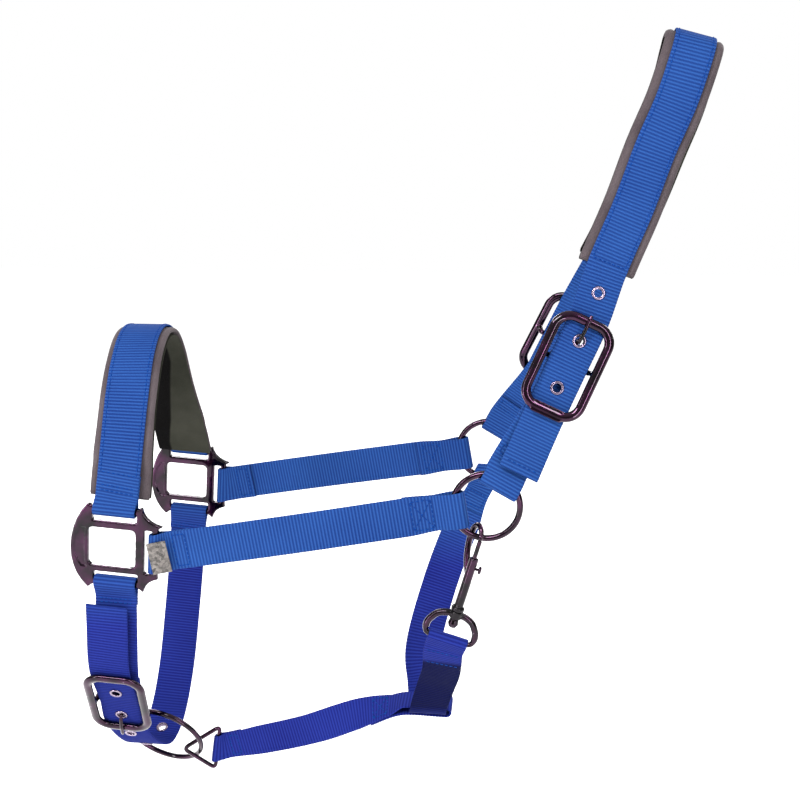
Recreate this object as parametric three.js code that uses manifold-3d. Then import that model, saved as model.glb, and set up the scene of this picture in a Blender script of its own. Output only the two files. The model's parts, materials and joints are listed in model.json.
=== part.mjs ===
// Horse head halter: padded blue webbing headcollar with dark cast and wire fittings.
//
// Axes: +X towards the back of the horse's head, +Z up, -Y is the near side (the side that
// carries the snap). The origin is the poll point, where the inside of the crown rests.
// All sizes are in millimetres.

import * as THREE from 'three';
import { mergeVertices } from 'three/addons/utils/BufferGeometryUtils.js';
import Module from 'manifold-3d';

const wasm = await Module();
wasm.setup();

// ---------------------------------------------------------------- driving dimensions

const GAP = 0.3; // clearance between touching pieces
const WEB = 1.6; // webbing thickness
const LAYER = WEB + GAP; // distance between two stitched layers
const STRAP_W = 25.4; // crown, buckle, cheek and throat webbing
const NOSE_W = 27.5; // nose and chin webbing
const JAW_W = 22; // jaw strap webbing

const PAD = { width: 36, flare: 39, ramp: 60, dip: 1.2, thick: 4.4, lining: 1.2 };

const RING = { radius: 20.7, wire: 2.1 }; // cheek rings
const CHIN_RING = { radius: 28.5, wire: 1.9 };

// Double-bar buckle, measured from its centre bar: y runs to the tongue's resting bar
const BUCKLE = { halfWidth: 18.9, top: 28.5, bottom: -32, corner: 11.5, wire: 2.1 };
const PLATE = { width: 7.4, thick: 3.4 }; // flat lower bar of a crown buckle
const BAND = 3.1; // half width of a buckle's frame, which is a flattened oval
const BAR = 1.8; // radius of a buckle's centre bar
const BAR_FOLD = BAR + WEB / 2 + 0.45; // middle radius of webbing folded round it
const STRAP_RISE = BAR + 2 * LAYER + 0.2 - WEB / 2; // strap over the centre bar, above its axis
const FRAME_RISE = STRAP_RISE + WEB / 2 + GAP + BUCKLE.wire; // buckle frame above the same axis
const TONGUE = { eyelet: 15, loop: 3.4, width: 2.6, thick: 1.9 };

const EYELET = { bore: 2.6, barrel: 3.0, flange: 4.3, lip: 0.5, hole: 3.4 };
const EYELET_PITCH = 31.6; // along the crown strap
const CHIN_PITCH = 27; // the same along the chin strap
const TRIANGLE = { half: 17.3, reach: 25, corner: 4.5, wire: 1.5 };
const RING_FOLD = 3.8; // middle radius of webbing folded round a cheek ring
const SLACK = 0.6; // room left at each end of a loop beyond its ring's bow

// Cast side square, in its own plane: window, three slotted bars and the front crescent
const SQUARE = { thick: 4, tilt: THREE.MathUtils.degToRad(4) };
const SQUARE_BARS = { nose: [1.6, 26], chin: [2.6, -22.95], cheek: [28.25, 0] };
const SQUARE_FOLD = 3.85; // middle radius of webbing folded round a cast bar

// Where each side's fittings sit: [x, y, z] below the outside top of the crown. `sway` is how far
// back the strap hangs between the poll and the buckle.
const NEAR = {
  sign: -1,
  square: [-356.7, -70, -316.5],
  ring: [-119.7, -60, -283.7],
  bar: [-72, -36, -197.5],
  sway: 0,
};
const FAR = {
  sign: 1,
  square: [-350.5, 70, -313.5],
  ring: [-122.1, 60, -279.5],
  bar: [-73, 36, -195],
  sway: 4,
};
const CHIN_BAR = [-367, -44, -433];
const EYE_BAR = [-142.4, -64.5, -371];
const CHIN_RING_AT = [-353.5, -0.7, -486.7];
const TRIANGLE_AT = [-315.4, 4.4, -497.7];
const JAW_LEVEL = -452.1; // middle of the jaw strap's rear loop
const JAW_GATHER = 2.5; // how much narrower the jaw strap is in its link
const CHEEK_GATHER = 2.4; // how much narrower a cheek strap is in its ring
const THROAT_GATHER = 7.4; // the same for the throat strap
const CROWN_BEND = 11.5; // radius of the crown strap over the poll
const CROWN_DROP = LAYER + GAP + PAD.thick + PAD.lining; // outside top of the crown to the poll point

// ---------------------------------------------------------------- vectors and frames

const v3 = (x, y, z) => new THREE.Vector3(x, y, z);
const from = (list) => v3(...list);
const along = (start, dir, dist) => start.clone().addScaledVector(dir, dist);

// A frame: origin and three axes, y up the piece and z out of the horse's head
function frameOf(origin, up, out) {
  const y = up.clone().normalize();
  const x = y.clone().cross(out).normalize();
  const z = x.clone().cross(y).normalize();
  return { origin, x, y, z };
}

function pointIn(frame, x, y, z) {
  return along(along(along(frame.origin, frame.x, x), frame.y, y), frame.z, z);
}

function matrixOf(frame) {
  return new THREE.Matrix4().makeBasis(frame.x, frame.y, frame.z).setPosition(frame.origin);
}

// ---------------------------------------------------------------- closed bodies

function signedVolume(geometry) {
  const [p, index] = [geometry.attributes.position, geometry.index];
  const [a, b, c] = [v3(), v3(), v3()];
  let sum = 0;
  for (let i = 0; i < index.count; i += 3) {
    a.fromBufferAttribute(p, index.getX(i));
    b.fromBufferAttribute(p, index.getX(i + 1));
    c.fromBufferAttribute(p, index.getX(i + 2));
    sum += a.dot(b.cross(c));
  }
  return sum;
}

function bodyFrom(points, faces) {
  const geometry = new THREE.BufferGeometry().setFromPoints(points);
  geometry.setIndex(faces);
  if (signedVolume(geometry) < 0) {
    geometry.setIndex(faces.reverse());
  }
  return geometry;
}

function solidOf(geometry) {
  const bare = new THREE.BufferGeometry();
  bare.setAttribute('position', geometry.attributes.position.clone());
  if (geometry.index) bare.setIndex(geometry.index.clone());
  const merged = mergeVertices(bare, 1e-4);
  const mesh = new wasm.Mesh({
    numProp: 3,
    vertProperties: new Float32Array(merged.attributes.position.array),
    triVerts: new Uint32Array(merged.index.array),
  });
  return new wasm.Manifold(mesh);
}

function geometryOf(solid) {
  const mesh = solid.getMesh();
  const geometry = new THREE.BufferGeometry();
  geometry.setAttribute('position', new THREE.BufferAttribute(new Float32Array(mesh.vertProperties), 3));
  geometry.setIndex(new THREE.BufferAttribute(new Uint32Array(mesh.triVerts), 1));
  return geometry;
}

function join(...geometries) {
  return geometryOf(geometries.map(solidOf).reduce((sum, next) => sum.add(next)));
}

function cut(geometry, ...cutters) {
  return geometryOf(cutters.map(solidOf).reduce((rest, next) => rest.subtract(next), solidOf(geometry)));
}

function moved(geometry, frame) {
  return geometry.clone().applyMatrix4(matrixOf(frame));
}

// A round or flattened rod along a list of points, its section squared to the normal `up`
function rod(points, radius, { closed = false, sides = 8, up = v3(0, 0, 1), flat = 1, radii = [] } = {}) {
  const count = points.length;
  const verts = [];
  for (let i = 0; i < count; i++) {
    const before = points[closed ? (i + count - 1) % count : Math.max(i - 1, 0)];
    const after = points[closed ? (i + 1) % count : Math.min(i + 1, count - 1)];
    const side = after.clone().sub(before).cross(up).normalize();
    const r = radii[i] ?? radius;
    for (let k = 0; k < sides; k++) {
      const turn = ((k + 0.5) / sides) * 2 * Math.PI;
      verts.push(along(along(points[i], side, r * Math.cos(turn)), up, r * flat * Math.sin(turn)));
    }
  }
  const faces = [];
  const rings = closed ? count : count - 1;
  for (let i = 0; i < rings; i++) {
    for (let k = 0; k < sides; k++) {
      const [a, b] = [i * sides + k, i * sides + ((k + 1) % sides)];
      const [c, d] = [((i + 1) % count) * sides + k, ((i + 1) % count) * sides + ((k + 1) % sides)];
      faces.push(a, b, d, a, d, c);
    }
  }
  if (!closed) {
    const last = (count - 1) * sides;
    for (let k = 1; k < sides - 1; k++) faces.push(0, k + 1, k, last, last + k, last + k + 1);
  }
  return bodyFrom(verts, faces);
}

const flatPoints = (path, steps, z) => path.getPoints(steps).map((p) => v3(p.x, p.y, z));
const apart = (p, q) => p.distanceTo(q) > 0.01;

// ---------------------------------------------------------------- webbing

// The middle line of a strap. Each stop is [point, direction of the strap's width].
class Run {
  constructor(stops) {
    this.curve = new THREE.CatmullRomCurve3(stops.map(([p]) => p), false, 'centripetal');
    this.curve.arcLengthDivisions = 400;
    this.length = this.curve.getLength();
    this.widths = stops.map(([, w]) => w.clone().normalize());
    const lengths = this.curve.getLengths(400);
    this.marks = stops.map((_, i) => lengths[Math.round((i / (stops.length - 1)) * 400)]);
  }

  widthAt(s) {
    let i = 0;
    while (i < this.marks.length - 2 && s > this.marks[i + 1]) i++;
    const t = THREE.MathUtils.clamp((s - this.marks[i]) / (this.marks[i + 1] - this.marks[i]), 0, 1);
    return this.widths[i].clone().lerp(this.widths[i + 1], t);
  }

  // Frame at the distance s, carried straight on past either end
  at(s) {
    const u = THREE.MathUtils.clamp(s / this.length, 0, 1);
    const tangent = this.curve.getTangentAt(u);
    const origin = along(this.curve.getPointAt(u), tangent, s - u * this.length);
    const width = this.widthAt(s);
    width.addScaledVector(tangent, -width.dot(tangent)).normalize();
    return { origin, x: width, y: tangent, z: tangent.clone().cross(width) };
  }

  point(s, n, w) {
    return pointIn(this.at(s), w, 0, n);
  }
}

// How far along a strap the line at the distance w from its middle meets a straight bar
const onBar = (axis) => (at, w) => (w * axis.dot(at.y)) / axis.dot(at.x);

// Profile of a folded end, as [s, n, held]: from the end of the folded-back layer, round a bar
// whose axis is at s = 0, n = 0, to where the strap is back on its own line. `layer` is the offset
// of the folded-back layer, `slot` lengthens the loop for what is wider than a bar, `sag` moves it
// past the bar's middle, and `held` marks the part that follows the bar.
function fold({ radius, back, neck = 9, layer = -LAYER, slot = 0, sag = 0, steps = 7 }) {
  const profile = [[slot + back, layer, false], [slot + neck, layer, false]];
  const tangent = (n) => Math.atan2(Math.abs(n), neck) + Math.acos(radius / Math.hypot(neck, n));
  const [start, end] = slot > 0 ? [Math.PI / 2, Math.PI / 2] : [tangent(layer), tangent(0)];
  if (slot > 0) profile.push([slot, -radius, true]);
  for (let k = 0; k <= steps; k++) {
    const turn = start + ((2 * Math.PI - start - end) * k) / steps;
    profile.push([radius * Math.cos(turn), -radius * Math.sin(turn), true]);
  }
  if (slot > 0) profile.push([slot, radius, true]);
  profile.push([slot + neck, 0, false]);
  return profile.map(([s, n, held]) => [s - sag, n, held]);
}

// A straight fold round a cheek ring, along the ring's tangent: the loop is as long as the ring's
// bow across the strap
function ringFold(width, back, tangent) {
  const bow = RING.radius - Math.sqrt(RING.radius ** 2 - (width / 2) ** 2);
  const [slot, sag] = [bow + 2 * SLACK, bow + SLACK];
  return { radius: RING_FOLD, back, neck: 10, slot, sag, meets: onBar(tangent) };
}

// A strap: optional folds at both ends and evenly spaced stations between them
function strap(run, { width, start, end, step = 12 }) {
  const head = start ? fold(start) : [[0, 0, false]];
  const tail = end ? fold(end).reverse() : [[0, 0, false]];
  const [s0, s1] = [head.at(-1)[0], run.length - tail[0][0]];
  const [first, last] = [run.at(0), run.at(run.length)];
  const profile = [];
  for (const [s, n, held] of head) {
    profile.push({ s, n, shift: held ? holding(start.meets, first, s) : level });
  }
  profile.push(...layerAt(evenMarks(s0, s1, step).slice(1, -1)));
  for (const [d, n, held] of tail) {
    profile.push({ s: run.length - d, n, shift: held ? holding(end.meets, last, -d) : level });
  }
  return ribbon(run, profile, width, WEB);
}

// Shift of a held point s from the bar's middle: it follows the bar, and reaches further where
// the bar runs askew
function holding(meets, at, s) {
  return (w) => {
    const slope = meets(at, w + 0.05) - meets(at, w - 0.05);
    return meets(at, w) + s * (Math.hypot(1, slope / 0.1) - 1);
  };
}

const level = () => 0;

// Evenly spaced distances from s0 to s1
function evenMarks(s0, s1, step) {
  const count = Math.max(1, Math.round((s1 - s0) / step));
  return Array.from({ length: count + 1 }, (_, i) => s0 + ((s1 - s0) * i) / count);
}

// Stations of a layer at a depth, which may be a function of s
function layerAt(marks, depth = 0) {
  return marks.map((s) => ({ s, n: typeof depth === 'function' ? depth(s) : depth, shift: level }));
}

// A closed band through the profile's stations
function ribbon(run, profile, width, thick) {
  const widthAt = typeof width === 'function' ? width : () => width;
  const grid = profile.map(({ s, n, shift }) => {
    const edges = [-widthAt(s) / 2, widthAt(s) / 2];
    return edges.map((w) => run.point(s + shift(w), n, w));
  });
  return band(grid, thick);
}

function band(grid, thick) {
  const [rows, cols] = [grid.length, grid[0].length];
  const [outer, inner] = [[], []];
  for (let i = 0; i < rows; i++) {
    for (let j = 0; j < cols; j++) {
      const length = grid[Math.min(i + 1, rows - 1)][j].clone().sub(grid[Math.max(i - 1, 0)][j]);
      const width = grid[i][Math.min(j + 1, cols - 1)].clone().sub(grid[i][Math.max(j - 1, 0)]);
      const normal = length.cross(width).normalize();
      outer.push(along(grid[i][j], normal, thick / 2));
      inner.push(along(grid[i][j], normal, -thick / 2));
    }
  }
  const faces = [];
  const under = rows * cols;
  const quad = (a, b, c, d) => faces.push(a, b, c, a, c, d);
  const id = (i, j) => i * cols + j;
  for (let i = 0; i < rows - 1; i++) {
    for (let j = 0; j < cols - 1; j++) {
      quad(id(i, j), id(i + 1, j), id(i + 1, j + 1), id(i, j + 1));
      quad(under + id(i, j), under + id(i, j + 1), under + id(i + 1, j + 1), under + id(i + 1, j));
    }
    quad(id(i, 0), under + id(i, 0), under + id(i + 1, 0), id(i + 1, 0));
    const e = cols - 1;
    quad(id(i, e), id(i + 1, e), under + id(i + 1, e), under + id(i, e));
  }
  const last = rows - 1;
  for (let j = 0; j < cols - 1; j++) {
    quad(id(0, j), id(0, j + 1), under + id(0, j + 1), under + id(0, j));
    quad(id(last, j), under + id(last, j), under + id(last, j + 1), id(last, j + 1));
  }
  return bodyFrom([...outer, ...inner], faces);
}

// The frame of an eyelet through a strap at the distance s
function eyeletFrame(run, s) {
  const { origin, y, z } = run.at(s);
  return frameOf(origin, y, z);
}

// Round holes through a strap
function punch(geometry, frames) {
  const hole = new THREE.CylinderGeometry(EYELET.hole, EYELET.hole, 6, 12).rotateX(Math.PI / 2);
  return cut(geometry, ...frames.map((frame) => moved(hole, frame)));
}

function eyeletBody() {
  const [face, lip] = [WEB / 2 + GAP, WEB / 2 + GAP + EYELET.lip];
  const { bore, barrel, flange } = EYELET;
  const profile = [
    [bore, -lip], [flange, -lip], [flange, -face], [barrel, -face],
    [barrel, face], [flange, face], [flange, lip], [bore, lip], [bore, -lip],
  ].map(([r, z]) => new THREE.Vector2(r, z));
  return new THREE.LatheGeometry(profile, 12).rotateX(Math.PI / 2);
}

// ---------------------------------------------------------------- metal fittings

function ringBody({ radius, wire }, segments = 30) {
  return new THREE.TorusGeometry(radius, wire, 8, segments);
}

// Cast square, drawn in the plane of its window
function squareBody() {
  const outline = new THREE.Shape();
  outline.moveTo(-15.9, 29.2);
  outline.lineTo(-13.4, 27.9);
  outline.lineTo(16.6, 27.9);
  outline.lineTo(19.4, 29.2);
  outline.quadraticCurveTo(20.5, 20, 33, 17.6);
  outline.lineTo(30.1, 16.2);
  outline.lineTo(30.1, -16.2);
  outline.lineTo(30.6, -17.6);
  outline.quadraticCurveTo(22.5, -19.5, 21, -27.4);
  outline.lineTo(17.6, -24.9);
  outline.lineTo(-12.6, -24.9);
  outline.lineTo(-15.6, -27.4);
  outline.quadraticCurveTo(-27, -18, -27.3, -1);
  outline.quadraticCurveTo(-27, 17, -15.9, 29.2);
  const window = roundedHole(-15.6, -11.9, 15.4, 13.6, 3);
  const noseSlot = roundedHole(-12.9, 18.4, 16.1, 24.1, 0.6);
  const chinSlot = roundedHole(-11.9, -21, 17.1, -15.9, 0.6);
  const cheekSlot = roundedHole(21.2, -14.5, 26.4, 14.5, 0.6);
  outline.holes.push(window, noseSlot, chinSlot, cheekSlot);
  return new THREE.ExtrudeGeometry(outline, { depth: SQUARE.thick, bevelEnabled: false, curveSegments: 5 })
    .translate(0, 0, -SQUARE.thick / 2);
}

function roundedHole(x0, y0, x1, y1, r) {
  const hole = new THREE.Path();
  hole.moveTo(x0 + r, y0);
  hole.absarc(x1 - r, y0 + r, r, -Math.PI / 2, 0);
  hole.absarc(x1 - r, y1 - r, r, 0, Math.PI / 2);
  hole.absarc(x0 + r, y1 - r, r, Math.PI / 2, Math.PI);
  hole.absarc(x0 + r, y0 + r, r, Math.PI, 1.5 * Math.PI);
  return hole;
}

// Buckle frame with a dropped centre bar along x at the origin; z is out of the strap
function buckleBody(withPlate) {
  const { halfWidth, top, bottom, corner, wire } = BUCKLE;
  const inset = BAND - wire;
  const w = halfWidth - inset;
  const path = roundedHole(-w, bottom, w, top - inset, corner - inset);
  const spaced = flatPoints(path, 4, FRAME_RISE).filter((p, i, all) => apart(p, all.at(i - 1)));
  const parts = [rod(spaced, BAND, { closed: true, flat: wire / BAND })];
  const legs = halfWidth - 3.3;
  const half = [[w, FRAME_RISE], [legs, FRAME_RISE - 3.6], [legs, 0]];
  const bar = [...half.map(([x, z]) => v3(-x, 0, z)), ...half.reverse().map(([x, z]) => v3(x, 0, z))];
  parts.push(rod(bar, BAR, { up: v3(0, 1, 0) }));
  if (withPlate) {
    const plate = new THREE.BoxGeometry(2 * (w - corner) + 8, PLATE.width, PLATE.thick);
    parts.push(plate.translate(0, bottom, FRAME_RISE));
  }
  return join(...parts);
}

// Tongue in the buckle's frame: a loop round the centre bar, then behind the strap, up through
// its eyelet on an arc about the bar, and out over the top bar
function tongueBody() {
  const { eyelet, loop, width, thick } = TONGUE;
  const reach = Math.hypot(eyelet, STRAP_RISE);
  const rest = FRAME_RISE + BUCKLE.wire + GAP + thick / 2;
  const line = [[loop - 0.6, 0], [eyelet - 1.4, 0.2]];
  const [low, high] = [Math.asin(1.2 / reach), Math.asin((STRAP_RISE + 2.4) / reach)];
  for (let k = 0; k <= 3; k++) {
    const turn = low + ((high - low) * k) / 3;
    line.push([reach * Math.cos(turn), reach * Math.sin(turn)]);
  }
  line.push([eyelet + 1.4, STRAP_RISE + 4.4], [BUCKLE.top - 5, rest - 0.2], [BUCKLE.top + 3, rest]);
  const blade = rod(line.map(([y, z]) => v3(0, y, z)), thick / 2, { up: v3(1, 0, 0), flat: width / thick });
  const profile = [[BAR + 0.2, -1.6], [loop, -1.6], [loop, 1.6], [BAR + 0.2, 1.6], [BAR + 0.2, -1.6]];
  const collar = new THREE.LatheGeometry(profile.map(([r, z]) => new THREE.Vector2(r, z)), 16);
  return join(blade, collar.rotateZ(Math.PI / 2));
}

// Slot in a buckle strap's fold that lets the tongue's loop round the bar
function tongueSlot(frame) {
  return moved(new THREE.BoxGeometry(4.4, 10.5, 12).translate(0, -0.5, 0), frame);
}

// Wire triangle: y along the side that the jaw strap loops round, x towards the apex
function triangleBody() {
  const { half, reach, corner, wire } = TRIANGLE;
  const ends = [v3(0, half, 0), v3(0, -half, 0), v3(reach, 0, 0)];
  const points = [];
  ends.forEach((p, i) => {
    const towards = (q) => along(p, q.clone().sub(p).normalize(), corner);
    const [a, b] = [towards(ends[(i + 2) % 3]), towards(ends[(i + 1) % 3])];
    points.push(...new THREE.QuadraticBezierCurve3(a, p, b).getPoints(4));
  });
  return rod(points, wire, { closed: true });
}

// ---------------------------------------------------------------- throat snap
// Snap frame: origin at the middle of the eye's straight bar, y up the shank, z out of the head

const SNAP = {
  eyeWire: 1.75, eyeHalf: 15.9, eyeTop: 17.8, boss: 4, pin: 1.7, ball: 3.5,
  shank: 3, collar: 4.3, bodyTop: 57, bore: 1.85, boreBottom: 30,
  bolt: 1.45, boltBottom: 44, boltTop: 69, knob: 50.4, travel: 8, spring: 1.15, springWire: 0.3,
};
const SHANK_FOOT = SNAP.eyeTop + 3; // where the shank starts above the swivel

function eyeBody() {
  const { eyeHalf: w, eyeTop: top, eyeWire, boss, pin } = SNAP;
  const half = [[w - 1.9, 0], [w, 2.2], [w, 8.5], [w - 4.2, top - 2.6], [w - 10, top]];
  const line = [...half.map(([x, y]) => v3(x, y, 0)), ...half.reverse().map(([x, y]) => v3(-x, y, 0))];
  const loop = rod(line, eyeWire, { closed: true });
  const collar = new THREE.CylinderGeometry(boss, boss, 5, 12).translate(0, top, 0);
  const bore = new THREE.CylinderGeometry(pin + 0.4, pin + 0.4, 9, 12).translate(0, top, 0);
  return cut(join(loop, collar), bore);
}

// Shank, swivel pin with its ball, barrel and hook arm in one casting
function hookBody() {
  const { pin, ball, shank, collar, bodyTop, eyeTop } = SNAP;
  const profile = [
    [0, eyeTop - 2.5 - 2 * ball], [ball * 0.7, eyeTop - 1.6 - 2 * ball],
    [ball, eyeTop - 2.9 - ball], [ball * 0.8, eyeTop - 3.2], [pin, eyeTop - 2.8],
    [pin, SHANK_FOOT], [collar, SHANK_FOOT],
    [collar, SHANK_FOOT + 2], [shank, SHANK_FOOT + 3.4], [shank, bodyTop], [0, bodyTop],
  ].map(([r, y]) => new THREE.Vector2(r, y));
  const body = new THREE.LatheGeometry(profile, 12);
  const bore = cylinderBetween(SNAP.bore, SNAP.boreBottom, bodyTop + 1);
  const slotLow = SNAP.knob - SNAP.travel - 1.8;
  const slotHigh = SNAP.knob + 1.8;
  const slot = new THREE.BoxGeometry(6, slotHigh - slotLow, 2.6).translate(3, (slotLow + slotHigh) / 2, 0);
  return cut(join(body, armBody()), bore, slot);
}

// The arm leaves the barrel, passes behind the ring's wire and comes back over the bolt's tip
function armBody() {
  const [dx, dz] = [-0.5, -0.866];
  const stops = [
    [1.4, 43, 1.5], [4.6, 48.5, 2.1], [8.6, 54.5, 2.1], [11.1, 61.5, 2], [11.8, 68, 2],
    [10.4, 73.6, 1.9], [6.8, 76.6, 1.8], [3, 75.6, 1.7], [0.8, 73, 1.6], [0, SNAP.boltTop + 0.5, 1.5],
  ];
  const points = stops.map(([h, y]) => v3(h * dx, y, h * dz));
  return rod(points, 2, { up: v3(dz, 0, -dx), radii: stops.map(([, , r]) => r) });
}

function cylinderBetween(radius, low, high, sides = 12) {
  return new THREE.CylinderGeometry(radius, radius, high - low, sides).translate(0, (low + high) / 2, 0);
}

function boltBody() {
  const { bolt, boltBottom, boltTop, knob } = SNAP;
  const stem = new THREE.CylinderGeometry(0.9, 0.9, 5, 10).rotateZ(Math.PI / 2).translate(3.2, knob, 0);
  const button = new THREE.CylinderGeometry(2.5, 2.1, 1.8, 12).rotateZ(Math.PI / 2).translate(5.4, knob, 0);
  return join(cylinderBetween(bolt, boltBottom, boltTop), stem, button);
}

function springBody() {
  const { spring, springWire, boreBottom, boltBottom } = SNAP;
  const [turns, steps] = [5, 8];
  const [low, high] = [boreBottom + 0.7, boltBottom - 0.7];
  const points = [];
  for (let i = 0; i <= turns * steps; i++) {
    const turn = (i / steps) * 2 * Math.PI;
    const y = low + ((high - low) * i) / (turns * steps);
    points.push(v3(spring * Math.cos(turn), y, spring * Math.sin(turn)));
  }
  return rod(points, springWire, { sides: 4, up: v3(0, 1, 0) });
}

// ---------------------------------------------------------------- finishes

function finish(color, roughness, metalness = 0) {
  return new THREE.MeshStandardMaterial({ color, roughness, metalness });
}

const FINISH = {
  webbing: finish('#1e49c8', 0.7),
  pad: finish('#8a8482', 0.9),
  lining: finish('#2c2d24', 0.95),
  metal: finish('#3a2c3c', 0.25, 1),
  eyelet: finish('#8d8690', 0.3, 1),
  tag: finish('#8f8a86', 0.85),
};

// ---------------------------------------------------------------- layout

const halter = new THREE.Group();
const poll = new THREE.Group();
poll.position.z = CROWN_DROP;
halter.add(poll);

function add(name, geometry, material, frame) {
  const mesh = new THREE.Mesh(geometry, material);
  mesh.name = name;
  if (frame) mesh.applyMatrix4(matrixOf(frame));
  poll.add(mesh);
}

const smooth = (x) => THREE.MathUtils.smoothstep(x, 0, 1);

function squareFrame(side) {
  return frameOf(from(side.square), v3(Math.sin(SQUARE.tilt), 0, Math.cos(SQUARE.tilt)), v3(0, -1, 0));
}

function squareBar(side, which) {
  const [a, b] = SQUARE_BARS[which];
  return pointIn(squareFrame(side), a, b, 0);
}

function crownBuckleFrame(side) {
  return frameOf(from(side.bar), v3(0.4, -0.225 * side.sign, 0.887), v3(0, side.sign, 0));
}

const chinFrame = frameOf(from(CHIN_BAR), v3(-0.1, 0.5, -0.86), v3(0, -0.86, -0.5));
const snapFrame = frameOf(from(EYE_BAR), v3(0.28, 0, 0.96), v3(0, -1, 0));
const chinRingFrame = frameOf(from(CHIN_RING_AT), v3(-0.0887, -0.463, 0.8817), v3(0.166, 0.866, 0.472));
const triangleFrame = frameOf(from(TRIANGLE_AT), v3(0.14, 0, 0.99), v3(-0.378, 0.906, 0.053));

// Buckle frame and tongue on a centre bar
function addBuckle(label, frame, withPlate) {
  add(`${label}_buckle`, buckleBody(withPlate), FINISH.metal, frame);
  add(`${label}_tongue`, tongueBody(), FINISH.metal, frame);
}

function addSide(side, label) {
  const out = v3(0, side.sign, 0);
  const ring = from(side.ring);
  add(`${label}_side_square`, squareBody(), FINISH.metal, squareFrame(side));
  add(`${label}_cheek_ring`, ringBody(RING), FINISH.metal, frameOf(ring, v3(0, 0, 1), out));

  // Cheek strap, from the square's rear bar to the ring
  const bar = squareBar(side, 'cheek');
  const front = bar.clone().sub(ring).setY(0).normalize();
  const wire = along(ring, front, RING.radius);
  const upright = out.clone().cross(front.clone().negate());
  const middle = bar.clone().lerp(wire, 0.5);
  middle.y += 2 * side.sign;
  const cheek = new Run([
    [bar, squareFrame(side).y.clone().multiplyScalar(-side.sign)], [along(bar, front, -16), upright],
    [middle, upright], [wire, upright],
  ]);
  const cheekEnd = ringFold(STRAP_W - CHEEK_GATHER, 30, upright);
  const squareEnd = { radius: SQUARE_FOLD, back: 24, neck: 10, meets: onBar(squareFrame(side).y) };
  const gather = (s) => STRAP_W - CHEEK_GATHER * smooth((s - cheek.length + 30) / 20);
  const cheekBody = strap(cheek, { width: gather, start: squareEnd, end: cheekEnd });
  add(`${label}_cheek_strap`, cheekBody, FINISH.webbing);

  // Buckle strap, from the ring up to the crown buckle's centre bar
  const buckle = crownBuckleFrame(side);
  const up = buckle.origin.clone().sub(ring).setY(0).normalize();
  const top = along(ring, up, RING.radius);
  const across = out.clone().cross(up);
  const buckleRun = new Run([
    [top, across], [along(top, buckle.y, 9).lerp(along(top, up, 9), 0.4), across],
    [along(buckle.origin, buckle.y, -24), across], [buckle.origin, across],
  ]);
  const end = { radius: BAR_FOLD, back: 24, neck: 8, meets: onBar(buckle.x) };
  const plain = strap(buckleRun, { width: STRAP_W, start: ringFold(STRAP_W, 20, across), end });
  add(`${label}_buckle_strap`, cut(plain, tongueSlot(buckle)), FINISH.webbing);
  addBuckle(`${label}_crown`, buckle, true);
}

// One half of the crown strap, from its tip over the ring up to the poll
function crownStops(side) {
  const buckle = crownBuckleFrame(side);
  const y = (value) => value * side.sign;
  const tilt = v3(-0.91, 0, 0.41);
  const tip = from(side.ring).add(v3(19.1, y(6.8), 23.6));
  const back = (x, share) => x + share * side.sway;
  return [
    [tip, tilt],
    [pointIn(buckle, 0, -40, STRAP_RISE + 0.3), tilt],
    [pointIn(buckle, 0, 0, STRAP_RISE), tilt],
    [pointIn(buckle, 0, BUCKLE.top, STRAP_RISE), tilt],
    [v3(back(-49.3, 0.6), y(26), -139.3), tilt],
    [v3(back(-34.3, 1), y(19), -102.4), v3(-0.935, 0, 0.35)],
    [v3(back(-22.2, 1), y(14.5), -67.7), v3(-0.94, 0, 0.34)],
    [v3(back(-10.6, 0.6), y(12), -38.6), v3(-0.955, 0, 0.3)],
    [v3(back(-3, 0.15), y(CROWN_BEND), -12), v3(-0.965, 0, 0.26)],
    [v3(back(-1, 0.03), y(Math.SQRT1_2 * CROWN_BEND), -4.1), v3(-0.965, 0, 0.26)],
  ];
}

const CROWN_BAR_STOP = 2;
const CROWN_PAD_STOP = 4;

function addCrown() {
  const [near, far] = [crownStops(NEAR), crownStops(FAR).reverse()];
  const run = new Run([...near, [v3(-0.2, 0, -WEB / 2), v3(-0.965, 0, 0.26)], ...far]);
  const last = run.marks.length - 1;
  const bars = [[run.marks[CROWN_BAR_STOP], 1, 'near'], [run.marks[last - CROWN_BAR_STOP], -1, 'far']];
  const frames = [];
  for (const [bar, way, label] of bars) {
    for (let k = -1; k <= 1; k++) {
      const frame = eyeletFrame(run, bar + way * (TONGUE.eyelet + k * EYELET_PITCH));
      frames.push(frame);
      add(`${label}_crown_eyelet_${k + 2}`, eyeletBody(), FINISH.eyelet, frame);
    }
  }
  const marks = bendMarks(run.length);
  add('crown_strap', punch(ribbon(run, layerAt(marks), STRAP_W, WEB), frames), FINISH.webbing);
  const [s0, s1] = [run.marks[CROWN_PAD_STOP], run.marks[last - CROWN_PAD_STOP]];
  const padded = [s0, ...marks.filter((s) => s > s0 + 2 && s < s1 - 2), s1];
  const depth = -(WEB / 2 + GAP + PAD.thick / 2);
  const lining = depth - PAD.thick / 2 - GAP - PAD.lining / 2;
  add('crown_pad', ribbon(run, layerAt(padded, depth), PAD.width, PAD.thick), FINISH.pad);
  add('crown_lining', ribbon(run, layerAt(padded, lining), PAD.width, PAD.lining), FINISH.lining);
}

// Distances along the crown strap, close together over the poll
function bendMarks(length) {
  const [half, bend, fine, coarse] = [length / 2, 24, 12, 14];
  const straight = Array.from({ length: coarse }, (_, i) => ((half - bend) * i) / coarse);
  const curved = Array.from({ length: 2 * fine + 1 }, (_, i) => half - bend + (bend * i) / fine);
  return [...straight, ...curved, ...straight.map((s) => length - s).reverse()];
}

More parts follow.
